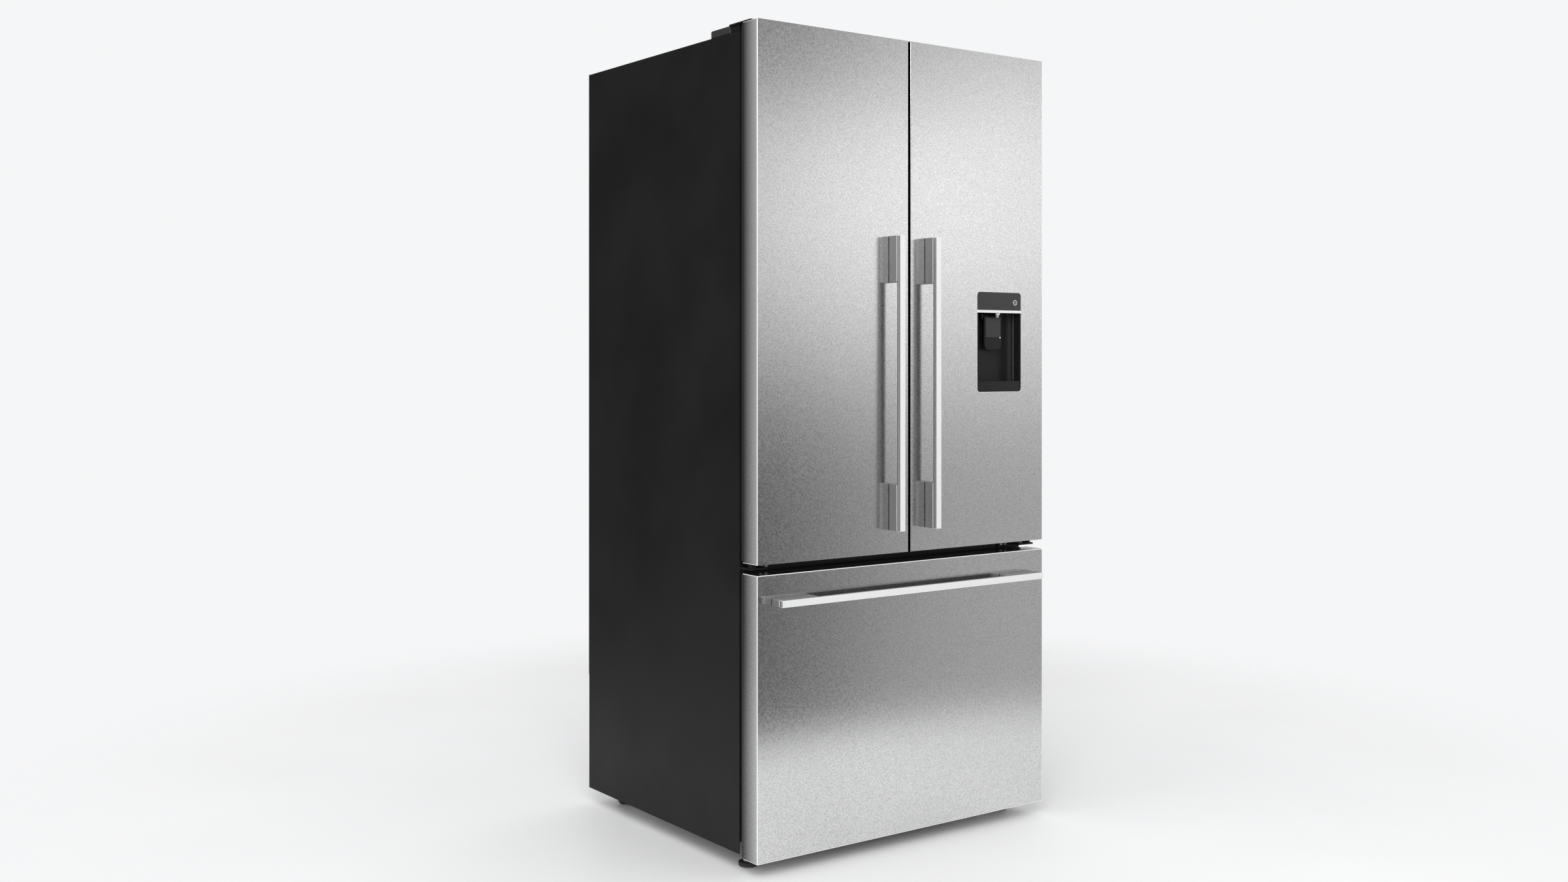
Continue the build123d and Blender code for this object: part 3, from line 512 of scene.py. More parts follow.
# Near black: the flap's grey plastic darkened as painted shade where the flap shows in the gap between the
# doors
FLAP_PLASTIC_AND_PAINTED_SHADE = moulded("flap_plastic_and_painted_shade", 0.008, 0.45, 700, 0.12, Specular_IOR_Level=0.2)
BLACK = moulded("moulded_black", 0.009, 0.34, 900, 0.15, Specular_IOR_Level=0.32)
PANEL = moulded("panel_black", 0.030, 0.22, 600, 0.03, Specular_IOR_Level=0.35)
FOOT_BLACK = moulded("foot_black", 0.015, 0.5, 500, 0.2)
LAMP = moulded("lamp_frost", 0.88, 0.4, 800, 0.1)
RUBBER = rubber()
ZINC = zinc()
CLEAR = see_through("clear_moulding", (0.86, 0.92, 0.95), 0.22, 0.08, (0.80, 0.88, 0.92))
GLASS = see_through("shelf_glass", (0.80, 0.93, 0.88), 0.16, 0.04, (0.35, 0.70, 0.58))
CHROME = chrome()
FIN = bare_metal("fin_aluminium", grey(0.66), grey(0.82), 0.28)
# White print; also painted light for the dot on the dispenser paddle
PRINT_AND_PAINTED_LIGHT = printed_white_and_painted_light()
FOAM = foam()

# Every CAD node gets its look, also where a finer piece stands for it
NODE_LOOKS = (
    (CASE, "cabinet_wrapper"),
    (FOAM, "cabinet_foam left_door_foam right_door_foam freezer_door_foam"),
    (BLACK_ENAMEL, "cross_rail door_hinges compressor"),
    (WHITE, "fridge_liner freezer_liner air_duct_cover shelf_frames crisper_cover freezer_back_cover "
            "left_door_liner right_door_liner freezer_door_liner"),
    (ZINC, "rear_panel machine_cover base_frame drawer_arms drawer_mid_rails drawer_fixed_rails "
           "fasteners"),
    (CAP, "hinge_covers left_door_caps right_door_caps"),
    (LAMP, "led_light"),
    (GLASS, "shelf_glass"),
    (CLEAR, "crisper_left crisper_right left_door_bins right_door_bins dairy_lid drawer_basket "
            "freezer_tray"),
    (FIN, "evaporator_unit condenser_unit"),
    (BLACK, "evaporator_fan condenser_fan dispenser_housing dispenser_paddle drip_tray"),
    (FOOT_BLACK, "left_foot right_foot left_roller right_roller"),
    (STEEL, "left_door_skin right_door_skin freezer_door_skin"),
    (RUBBER, "left_door_gasket right_door_gasket freezer_door_gasket"),
    (GRIP, "left_door_handle right_door_handle freezer_door_handle"),
    (FLAP_PLASTIC_AND_PAINTED_SHADE, "mullion_flap"),
    (CHROME, "dispenser_trim dispenser_nozzle"),
    (PANEL, "lock_button"),
)
for look, names in NODE_LOOKS:
    for name in names.split():
        NODES[name].data.materials.clear()
        NODES[name].data.materials.append(look)


# ---------------------------------------------------------------- doors and drawer front

SHEET = 1.2 * MM
EDGE = 1.5 * MM  # radius of the sheet's bends
RIM_BREAK = 1.1 * MM
GAP_SIDE = 5 * MM  # walls this near the middle stand in the gap between the doors
SQUARE = 0.995  # a normal's largest part, under which a face belongs to a bend
TOWARDS = 0.9  # a normal's part along an axis, over which a face looks that way
SAME_PLACE = 1e-7  # metres

POST_LENGTH = 98 * MM
BAR_STRIP = 5 * MM  # the bar's front strip
BAR_THICK = 10.5 * MM  # both strips
NECK = 3 * MM
NECK_INSET = 1 * MM
NECK_OVERLAP = 0.4 * MM  # into the bar and into the post
PAINTED_SHADOW_PAD_THICK = 1.2 * MM  # the black pad between post and door, a painted shadow where they meet
PAINTED_SHADOW_PAD_INSET = 0.5 * MM

SEAL_WIDTH = 14 * MM
SEAL_CORNER = 20 * MM


def is_bend(face):
    """Whether a face belongs to a rounded edge."""
    return max(abs(c) for c in face.normal) < SQUARE


def finished(flat, edge, front=None):
    """Picks a material for each face: rounded edges, faces to the front, and the rest."""

    def choose(face):
        if is_bend(face):
            return edge
        return front if front and face.normal.y < -TOWARDS else flat

    return choose


def sheet_finish(face):
    """Door and drawer sheets: painted shade on the walls in the gap between the doors and towards the rear
    of the outer walls, painted highlights on the bends.
    """
    if all(abs(corner.co.x) < GAP_SIDE for corner in face.verts):
        return PAINTED_SHADE_GAP_STEEL if face.normal.y > -0.5 else STEEL
    if is_bend(face):
        return EDGE_STEEL_PAINTED_HIGHLIGHT
    return PAINTED_SHADE_SIDE_STEEL if abs(face.normal.x) > TOWARDS else STEEL


def door_front(side, cutter=None):
    """A folded sheet: the face and both upright edges, open at the top, bottom and back, with soft rims."""
    name = side + "_door_skin"
    lo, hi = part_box(name)
    steps = 6
    arc = [math.pi / 2 * i / steps for i in range(steps + 1)]
    outer = [(lo.x, hi.y)]
    outer += [(lo.x + EDGE * (1 - math.cos(t)), lo.y + EDGE * (1 - math.sin(t))) for t in arc]
    outer += [(hi.x - EDGE * (1 - math.cos(t)), lo.y + EDGE * (1 - math.sin(t))) for t in arc[::-1]]
    outer += [(hi.x, hi.y)]
    inner = [(hi.x - SHEET, hi.y), (hi.x - SHEET, lo.y + SHEET), (lo.x + SHEET, lo.y + SHEET)]
    inner += [(lo.x + SHEET, hi.y)]
    shell = prism("z", outer + inner, lo.z, hi.z)
    rims = []
    for edge in shell.edges:
        level = abs(edge.verts[0].co.z - edge.verts[1].co.z) < SAME_PLACE
        if level and all(any(math.dist(v.co.xy, p) < SAME_PLACE for p in outer) for v in edge.verts):
            rims.append(edge)
    bmesh.ops.bevel(shell, geom=rims, offset=RIM_BREAK, segments=3, affect="EDGES", profile=0.5)
    piece = Piece(name + "_shown", side + "_door", "satin_steel", [name])
    piece.add(shell, sheet_finish).place([cutter] if cutter else ())


def drawer_front():
    """The drawer's sheet: a pan with all four edges folded back."""
    name = "freezer_door_skin"
    lo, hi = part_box(name)
    stations = [(SHEET, lo.y + SHEET), (SHEET, hi.y), (0, hi.y), (0, lo.y + EDGE)]
    stations += bend((0, lo.y + EDGE), (EDGE, lo.y), True, 6)
    shell = stack("y", (lo.x, hi.x), (lo.z, hi.z), stations, EDGE, 4)
    piece = Piece(name + "_shown", "freezer_drawer", "satin_steel", [name])
    piece.add(shell, sheet_finish).place()


def grip(name, body, upright):
    """A square bar of two bonded strips on long cast posts, each with a narrower neck and a black end pad;
    the pad is painted shadow where a post meets the door, and the neck and the edges carry painted
    highlights.
    """
    lo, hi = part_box(name)
    length_axis, width_axis = (2, 0) if upright else (0, 2)
    seam, bar_back = lo.y + BAR_STRIP, lo.y + BAR_THICK
    neck_back = bar_back + NECK
    post_end = hi.y - PAINTED_SHADOW_PAD_THICK
    piece = Piece(name + "_shown", body, "grip_steel", [name])
    # Bright front and dark other faces: partly the bar's finishes, partly painted light and painted shade;
    # painted highlights on the rounded edges
    metal = finished(GRIP_SIDE_TONE_AND_PAINTED_LIGHT, EDGE_STEEL_PAINTED_HIGHLIGHT, GRIP)
    piece.add(brick(lo, (hi.x, seam, hi.z), SOFT_EDGE), metal)
    piece.add(brick((lo.x, seam, lo.z), (hi.x, bar_back, hi.z), 0.7 * MM), metal)
    for low in (lo[length_axis], hi[length_axis] - POST_LENGTH):
        high = low + POST_LENGTH
        neck = [list(lo), list(hi)]
        post = [list(lo), list(hi)]
        neck[0][length_axis], neck[1][length_axis] = low + NECK_INSET, high - NECK_INSET
        post[0][length_axis], post[1][length_axis] = low, high
        neck[0][width_axis] += NECK_INSET
        neck[1][width_axis] -= NECK_INSET
        neck[0][1], neck[1][1] = bar_back - NECK_OVERLAP, neck_back + NECK_OVERLAP
        post[0][1], post[1][1] = neck_back, post_end
        # The neck's pale steel is a painted highlight along the groove
        piece.add(brick(*neck, FINE_EDGE, 2), EDGE_STEEL_PAINTED_HIGHLIGHT)
        piece.add(brick(*post, 0.6 * MM), POST)
        # The black pad between post and door is a painted shadow where they meet
        pad = [[c + PAINTED_SHADOW_PAD_INSET for c in post[0]], [c - PAINTED_SHADOW_PAD_INSET for c in post[1]]]
        pad[0][1], pad[1][1] = post_end - PAINTED_SHADOW_PAD_INSET, hi.y
        piece.add(brick(*pad, FINE_EDGE, 2), BLACK)
    piece.place()


def seal(name, body):
    """A bellows gasket: foot, waist and magnet pocket, carried round the door."""
    lo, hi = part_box(name)
    depth = hi.y - lo.y
    # One side of the section, as shares of its width and depth
    side = [(0.16, 0.0), (0.16, 0.18), (0.0, 0.30), (0.10, 0.44), (0.02, 0.58), (0.0, 0.94), (0.06, 1.0)]
    profile = [(a * SEAL_WIDTH, lo.y + b * depth) for a, b in side]
    profile += [((1 - a) * SEAL_WIDTH, lo.y + b * depth) for a, b in side[::-1]]
    shell = stack("y", (lo.x, hi.x), (lo.z, hi.z), profile, SEAL_CORNER, 6, closed=True)
    Piece(name + "_shown", body, "seal_grey", [name]).add(shell, RUBBER).place()


HOLE_MARGIN = 0.3 * MM
HOLE_R = 8.3 * MM
house_lo, house_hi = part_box("dispenser_housing")
hole_x = (house_lo.x - HOLE_MARGIN, house_hi.x + HOLE_MARGIN)
hole_z = (house_lo.z - HOLE_MARGIN, house_hi.z + HOLE_MARGIN)
hole_y = (house_lo.y - 5 * MM, house_lo.y + 10 * MM)  # from clear of the sheet to clear behind it

door_front("left")
door_front("right", stack("y", hole_x, hole_z, [(0, y) for y in hole_y], HOLE_R, 8))
drawer_front()
grip("left_door_handle", "left_door", True)
grip("right_door_handle", "right_door", True)
grip("freezer_door_handle", "freezer_drawer", False)
seal("left_door_gasket", "left_door")
seal("right_door_gasket", "right_door")
seal("freezer_door_gasket", "freezer_drawer")


# ---------------------------------------------------------------- water dispenser

DOOR_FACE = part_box("right_door_skin")[0].y
trim_lo, trim_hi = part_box("dispenser_trim")
RECESS_X = (198 * MM, 324 * MM)
RECESS_BACK = -296 * MM
RECESS_FLOOR = house_lo.z + 3.2 * MM
RECESS_CORNER = 12 * MM
CORNER = 8 * MM
SHARP_CORNER = 0.3 * MM

BEAD_X = (RECESS_X[1] - 1.6 * MM, RECESS_X[1] + 0.5 * MM)
BEAD_Y = (-309.5 * MM, -303 * MM)
BEAD_FOOT = 986 * MM

PADDLE_X = (232 * MM, 283 * MM)
PADDLE_Y = (-312.5 * MM, -308.5 * MM)
PADDLE_FOOT = 1056 * MM
PADDLE_FOLD = 1083 * MM
PIVOT_Y, PIVOT_Z = -303.5 * MM, 1130 * MM
PIVOT_R = 5 * MM
PIN_R, PIN_REACH = 2 * MM, 4.5 * MM

LUG_GAP = 0.8 * MM
LUG_WIDTH = 4.7 * MM
LUG_FRONT = -309 * MM
LUG_FOOT = 1124 * MM


def dispenser():
    """The dark recess, the control panel over it, the bezel in painted highlight, the bright strip with
    painted highlights on its edges, and the nozzle.
    """
    span = (house_lo.x, house_hi.x)
    body = Piece("dispenser_housing_shown", "right_door", "dispenser_black", ["dispenser_housing"])
    low_corners = (SHARP_CORNER, SHARP_CORNER, CORNER, CORNER)
    low = front_plate(span, (house_lo.z, trim_lo.z), house_hi.y, house_lo.y, low_corners, 0.5 * MM)
    recess_y = (house_lo.y - 20 * MM, RECESS_BACK)
    recess_corners = (RECESS_CORNER, RECESS_CORNER, SHARP_CORNER, SHARP_CORNER)
    levels = [(0, RECESS_FLOOR), (0, trim_lo.z + 1 * MM)]
    body.add(low, BLACK).place([stack("z", RECESS_X, recess_y, levels, recess_corners, 8)])

    panel = Piece("dispenser_panel", "right_door", "dispenser_black")
    high_corners = (CORNER, CORNER, SHARP_CORNER, SHARP_CORNER)
    upper = (trim_hi.z, house_hi.z)
    panel.add(front_plate(span, upper, house_hi.y, house_lo.y, high_corners, 0.6 * MM), PANEL)
    # The dark web behind the bright strip, and a bead down the recess's right wall whose paler metal is a
    # painted highlight along that corner
    panel.add(brick((span[0], trim_hi.y, trim_lo.z), (span[1], house_hi.y, trim_hi.z), FINE_EDGE), BLACK)
    bead = brick((BEAD_X[0], BEAD_Y[0], BEAD_FOOT), (BEAD_X[1], BEAD_Y[1], trim_lo.z), SOFT_EDGE)
    panel.add(bead, GRIP_SIDE_TONE_AND_PAINTED_LIGHT)
    # The lugs that hold the paddle's pin, one each side of it
    for near, way in ((PADDLE_X[0] - LUG_GAP, -1), (PADDLE_X[1] + LUG_GAP, 1)):
        low_x, high_x = sorted((near, near + way * LUG_WIDTH))
        panel.add(brick((low_x, LUG_FRONT, LUG_FOOT), (high_x, RECESS_BACK, trim_lo.z), SOFT_EDGE), BLACK)
    panel.place()

    bezel = Piece("dispenser_bezel", "right_door", "chrome")
    section = ((0.05, 2.0), (0.05, -0.3), (0.25, -0.7), (0.6, -0.7), (0.85, -0.4), (0.85, 2.0))
    ring = [(inset * MM, DOOR_FACE + y * MM) for inset, y in section]
    # The bezel's pale steel is a painted highlight round the opening
    bezel.add(stack("y", hole_x, hole_z, ring, HOLE_R, 8, closed=True), EDGE_STEEL_PAINTED_HIGHLIGHT).place()

    strip = Piece("dispenser_trim_shown", "right_door", "chrome", ["dispenser_trim"])
    # The strip's rounded edges carry painted highlights
    strip.add(brick(trim_lo, trim_hi, 1.2 * MM), finished(GRIP, EDGE_STEEL_PAINTED_HIGHLIGHT)).place()

    nozzle_lo, nozzle_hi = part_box("dispenser_nozzle")
    spout = ((nozzle_lo.x + nozzle_hi.x) / 2, (nozzle_lo.y + nozzle_hi.y) / 2)
    turned = [(2, 21), (4, 21), (4, 10), (7, 10), (7, 6.2)]
    turned += [(6.3, 5.4), (5.2, 5.2), (4.8, 0.5), (4.3, 0), (2, 0)]
    profile = [(r * MM, nozzle_lo.z + z * MM) for r, z in turned]
    nozzle = Piece("dispenser_nozzle_shown", "right_door", "chrome", ["dispenser_nozzle"])
    nozzle.add(lathe("z", spout, profile, closed=True), CHROME).place()


def paddle():
    """The plate that a cup pushes: a low and a high pad, a white dot of painted light, and a hub round its
    pin.
    """
    left, right = PADDLE_X
    front, back = PADDLE_Y
    pivot = (PIVOT_Y, PIVOT_Z)
    round_foot = (SHARP_CORNER, SHARP_CORNER, 10 * MM, 10 * MM)
    piece = Piece("dispenser_paddle_shown", "dispenser_paddle", "dispenser_black", ["dispenser_paddle"])
    piece.add(front_plate(PADDLE_X, (PADDLE_FOOT, PIVOT_Z), back, front, round_foot, 0.9 * MM), BLACK)
    low_pad = (left + 0.6 * MM, right - 0.6 * MM), (PADDLE_FOOT + 0.6 * MM, PADDLE_FOLD - 0.5 * MM)
    piece.add(front_plate(*low_pad, front + 0.2 * MM, front - 0.5 * MM, round_foot, 0.5 * MM), BLACK)
    high_pad = (left + 4 * MM, right - 3 * MM), (PADDLE_FOLD + 0.5 * MM, PIVOT_Z - 3 * MM)
    piece.add(front_plate(*high_pad, front + 0.2 * MM, front - 0.4 * MM, 1.5 * MM, 0.4 * MM), PANEL)
    # A white dot of painted light near the pad's corner
    dot = (right - 4.5 * MM, PADDLE_FOLD)
    piece.add(disc("y", dot, 1.5 * MM, (front - 0.9 * MM, front), 0.3 * MM, 4), PRINT_AND_PAINTED_LIGHT)
    piece.add(disc("x", pivot, PIVOT_R, PADDLE_X, 0.5 * MM), BLACK)
    piece.add(disc("x", pivot, PIN_R, (left - PIN_REACH, right + PIN_REACH), 0.3 * MM, 4), CHROME)
    piece.add(brick((left, back - 1 * MM, PIVOT_Z - PIVOT_R), (right, PIVOT_Y, PIVOT_Z), 0.4 * MM), BLACK)
    piece.place()


def button():
    """The lock: a flush round key with a plain ring and a short mark."""
    lo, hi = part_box("lock_button")
    at = ((lo.x + hi.x) / 2, (lo.z + hi.z) / 2)
    piece = Piece("lock_button_shown", "lock_button", "dispenser_black", ["lock_button"])
    piece.add(disc("y", at, (hi.x - lo.x) / 2, (lo.y, hi.y), 0.6 * MM), PANEL)
    rim = [(r * MM, lo.y + y * MM) for r, y in ((4.7, 0.1), (4.7, -0.15), (5.7, -0.15), (5.7, 0.1))]
    piece.add(lathe("y", at, rim, closed=True), PRINT_AND_PAINTED_LIGHT)
    mark = (0.55 * MM, 2.2 * MM)
    low = (at[0] - mark[0], lo.y - 0.15 * MM, at[1] - mark[1])
    piece.add(brick(low, (at[0] + mark[0], lo.y + 0.1 * MM, at[1] + mark[1]), 0.1 * MM), PRINT_AND_PAINTED_LIGHT)
    piece.place()


dispenser()
paddle()
button()


# ---------------------------------------------------------------- inside of the doors

LINER = 9 * MM  # the inner panel's thickness beside its dykes
CARRIER = LINER - 2.5 * MM
FACE_INSET, FACE_CORNER = 9 * MM, 14 * MM
FIELD_INSET, FIELD_CORNER = 32 * MM, 20 * MM
# The dykes are the upright walls that hold the bins
DYKE_Z = (870 * MM, 1625 * MM)
DYKES = ((44 * MM, 56 * MM), (332 * MM, 344 * MM))
BIN_X = (56.5 * MM, 331.5 * MM)
BIN_LOW = (890 * MM, 1140 * MM, 1400 * MM)
BIN_HEIGHT = 90 * MM
BIN_BACK = -172 * MM
DAIRY_BACK = BIN_BACK - 3.5 * MM
BAND_Z = (60 * MM, 76 * MM)  # above a bin's floor
BAND_INSET = 13 * MM
LUG_REACH = 8 * MM
LUG_HEIGHT = 8 * MM


def across(sign, near, far):
    """The X range between two distances from the middle, on side -1 or 1."""
    return tuple(sorted((sign * near, sign * far)))


def inner_panel(name, body, dykes=()):
    """A dark carrier, a white face, a raised field inside the seal, and dykes with lugs under the bins."""
    lo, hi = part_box(name)
    back = lo.y + LINER
    piece = Piece(name + "_shown", body, "liner_white", [name])
    piece.add(brick(lo, (hi.x, lo.y + CARRIER, hi.z), 1.5 * MM), CAP)

    def plate(inset, front, rear, corner, edge):
        x, z = (lo.x + inset, hi.x - inset), (lo.z + inset, hi.z - inset)
        return rear_plate(x, z, front, rear, corner, edge)

    piece.add(plate(FACE_INSET, back - 3 * MM, back, FACE_CORNER, 1.2 * MM), WHITE)
    piece.add(plate(FIELD_INSET, back - 0.5 * MM, back + 2 * MM, FIELD_CORNER, 1.8 * MM), WHITE)
    for x in dykes:
        piece.add(brick((x[0], back - 1 * MM, DYKE_Z[0]), (x[1], hi.y, DYKE_Z[1]), 3.5 * MM, 4), WHITE)
        # The dyke nearer the middle faces outwards to the bins, and the other one faces inwards
        outwards = math.copysign(1, x[0])
        to_bins = outwards if abs(x[0] + x[1]) < sum(BIN_X) else -outwards
        wall = x[1] if to_bins > 0 else x[0]
        lug_x = sorted((wall - to_bins * 1 * MM, wall + to_bins * LUG_REACH))
        for low in BIN_LOW:
            lug = brick((lug_x[0], back, low - LUG_HEIGHT), (lug_x[1], hi.y - 6 * MM, low), 1.2 * MM)
            piece.add(lug, WHITE)
    return piece


def flap_brackets(panel):
    """The brackets under and over the mullion flap, each a root and a longer finger."""
    door_side, back = -46 * MM, -240 * MM
    root = (-269.5 * MM, -29 * MM)
    finger = (-258.4 * MM, -14 * MM)
    for low, high in ((655 * MM, 667 * MM), (1631 * MM, 1637 * MM)):
        for front, reach in (root, finger):
            panel.add(brick((door_side, front, low), (reach, back, high), SOFT_EDGE), FLAP_PLASTIC_AND_PAINTED_SHADE)


left_panel = inner_panel("left_door_liner", "left_door", [across(-1, *d) for d in DYKES])
flap_brackets(left_panel)
left_panel.place()
inner_panel("right_door_liner", "right_door", [across(1, *d) for d in DYKES]).place()
inner_panel("freezer_door_liner", "freezer_drawer").place()


def door_bins(side, sign):
    """Clear bins with rolled rims and a satin band; the left door's top one is the bandless dairy box."""
    name = side + "_door_bins"
    lo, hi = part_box(name)
    x = across(sign, *BIN_X)
    piece = Piece(name + "_shown", side + "_door", "clear_plastic", [name])
    for low in BIN_LOW:
        dairy = sign < 0 and low == BIN_LOW[-1]
        back = DAIRY_BACK if dairy else BIN_BACK
        piece.add(tub_shell(x, (lo.y, back), (low, low + BIN_HEIGHT), 2.5 * MM, 12 * MM, 8 * MM), CLEAR)
        if not dairy:
            band_lo = (x[0] + BAND_INSET, back - 0.5 * MM, low + BAND_Z[0])
            band_hi = (x[1] - BAND_INSET, back + 1.5 * MM, low + BAND_Z[1])
            piece.add(brick(band_lo, band_hi, SOFT_EDGE), GRIP)
    piece.place()


door_bins("left", -1)
door_bins("right", 1)


# ---------------------------------------------------------------- compartments

# Each compartment's inner side wall, outer back, corner radius, floor and ceiling
UPPER_WALL, UPPER_BACK, UPPER_CORNER = 347 * MM, 303 * MM, 18 * MM
UPPER_Z = (653 * MM, 1639 * MM)
FREEZER_WALL, FREEZER_BACK, FREEZER_CORNER = 342 * MM, 170 * MM, 10 * MM
FREEZER_Z = (99 * MM, 577 * MM)
THIN = 3 * MM  # walls of the compartments, the crispers and the freezer's tubs
FLANGE = 1.5 * MM

SHELF_Z = (1040 * MM, 1230 * MM, 1430 * MM)
SHELF_FRONT = -130 * MM
SHELF_EDGE_X = 338 * MM
COVER_LOW = 852 * MM
LEDGE_X = (339 * MM, 348 * MM)
LEDGE_Y = (-120 * MM, 270 * MM)
LEDGE_HEIGHT = 10 * MM
RIB_X = ((60 * MM, 70 * MM), (315 * MM, 325 * MM))  # the ribs carry the crispers
RIB_Y = (-130 * MM, 242 * MM)
RIB_Z = (652 * MM, 669.5 * MM)

LIP_DEPTH = 8 * MM
TUB_RIM = 5 * MM
TUB_RIBS = 9


def compartment(name, wall_x, room_z, back, corner):
    """The white moulding of a compartment with its dark front flange."""
    lo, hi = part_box(name)
    room = (-wall_x, wall_x)
    piece = Piece(name + "_shown", "cabinet", "liner_white", [name])
    around = ((lo.x, hi.x), (lo.z, hi.z))
    flange = opening_frame("y", around, (room, room_z), (lo.y, lo.y + FLANGE), 2 * MM, corner, 8)
    piece.add(flange, CASE)
    piece.add(room_shell(room, room_z, lo.y + 0.4 * MM, back, THIN, corner), WHITE)
    return piece


def ledges_and_ribs(room):
    """Side ledges under the shelves and the crisper cover, and floor ribs under the crispers."""
    for sign in (-1, 1):
        for top in (*SHELF_Z, COVER_LOW):
            x = across(sign, *LEDGE_X)
            ledge = brick((x[0], LEDGE_Y[0], top - LEDGE_HEIGHT), (x[1], LEDGE_Y[1], top), 2 * MM)
            room.add(ledge, WHITE)
        for rib in RIB_X:
            x = across(sign, *rib)
            room.add(brick((x[0], RIB_Y[0], RIB_Z[0]), (x[1], RIB_Y[1], RIB_Z[1]), 2 * MM), WHITE)


def shelf_edges():
    """A satin strip along the front of each glass shelf."""
    piece = Piece("shelf_edges", "cabinet", "grip_steel")
    for z in SHELF_Z:
        low = (-SHELF_EDGE_X, SHELF_FRONT - 1.2 * MM, z + 1.5 * MM)
        high = (SHELF_EDGE_X, SHELF_FRONT + 1 * MM, z + 12.5 * MM)
        piece.add(brick(low, high, SOFT_EDGE), GRIP)
    piece.place()


upper = compartment("fridge_liner", UPPER_WALL, UPPER_Z, UPPER_BACK, UPPER_CORNER)
ledges_and_ribs(upper)
upper.place()
compartment("freezer_liner", FREEZER_WALL, FREEZER_Z, FREEZER_BACK, FREEZER_CORNER).place()
shelf_edges()


def crisper(side):
    """A clear bin with a white pull lip."""
    name = "crisper_" + side
    lo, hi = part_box(name)
    front = lo.y + LIP_DEPTH
    left, right = lo.x + 1 * MM, hi.x - 1 * MM
    piece = Piece(name + "_shown", name, "clear_plastic", [name])
    piece.add(tub_shell((lo.x, hi.x), (front, hi.y), (lo.z, hi.z), THIN, 12 * MM, 9 * MM), CLEAR)
    piece.add(brick((left, lo.y, hi.z - 3 * MM), (right, front + 2 * MM, hi.z), 1 * MM), WHITE)
    piece.add(brick((left, lo.y, hi.z - 22 * MM), (right, lo.y + 3 * MM, hi.z), 1.2 * MM), WHITE)
    piece.place()


def freezer_tub(name, body):
    """A clear drawer tub with a white rim and shallow upright ribs."""
    lo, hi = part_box(name)
    piece = Piece(name + "_shown", body, "clear_plastic", [name])
    u, v = (lo.x, hi.x), (lo.y, hi.y)
    piece.add(tub_shell(u, v, (lo.z, hi.z - 2 * MM), THIN, 16 * MM, 12 * MM), CLEAR)
    inner = (lo.x + TUB_RIM, hi.x - TUB_RIM), (lo.y + TUB_RIM, hi.y - TUB_RIM)
    piece.add(opening_frame("z", (u, v), inner, (hi.z - 7 * MM, hi.z), 16 * MM, 11 * MM), WHITE)
    for i in range(TUB_RIBS):
        x = lo.x + (hi.x - lo.x) * (i + 1) / (TUB_RIBS + 1)
        for y in (lo.y + THIN - 0.5 * MM, hi.y - THIN - 1.5 * MM):
            low = (x - 1.5 * MM, y, lo.z + 14 * MM)
            piece.add(brick(low, (x + 1.5 * MM, y + 2 * MM, hi.z - 9 * MM), SOFT_EDGE, 2), CLEAR)
    piece.place()


crisper("left")
crisper("right")
freezer_tub("drawer_basket", "freezer_drawer")
freezer_tub("freezer_tray", "freezer_tray")


# ---------------------------------------------------------------- back, feet and softened CAD pieces

BORDER_X, BORDER_Z, BORDER_CORNER = 40 * MM, 50 * MM, 30 * MM
PRESSED_BEADS = 5
PRESSED_HALF = 7 * MM
PRESSED_MARGIN = 60 * MM

NUT_R = 11 * MM
NUT_Z = (9.9 * MM, 17 * MM)
THREAD_CORE, THREAD_CREST, THREAD_PITCH = 4.2 * MM, 5 * MM, 1.5 * MM


def rear_sheet():
    """The galvanised back with pressed upright beads and a pressed border."""
    lo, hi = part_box("rear_panel")
    piece = Piece("rear_panel_shown", "cabinet", "zinc_steel", ["rear_panel"])
    piece.add(brick(lo, hi, 0.6 * MM), ZINC)
    field_x, field_z = (lo.x + BORDER_X, hi.x - BORDER_X), (lo.z + BORDER_Z, hi.z - BORDER_Z)
    profile = ((0, -0.3), (0.6, 1.0), (2.5, 1.5), (6.5, 1.5), (8.4, 1.0), (9, -0.3))
    ring = [(inset * MM, hi.y + rise * MM) for inset, rise in profile]
    piece.add(stack("y", field_x, field_z, ring, BORDER_CORNER, 8, closed=True), ZINC)
    for i in range(PRESSED_BEADS):
        x = field_x[0] + (field_x[1] - field_x[0]) * (i + 1) / (PRESSED_BEADS + 1)
        low = (x - PRESSED_HALF, hi.y - 1.2 * MM, field_z[0] + PRESSED_MARGIN)
        high = (x + PRESSED_HALF, hi.y + 1.4 * MM, field_z[1] - PRESSED_MARGIN)
        piece.add(brick(low, high, 1.3 * MM, 4), ZINC)
    piece.place()


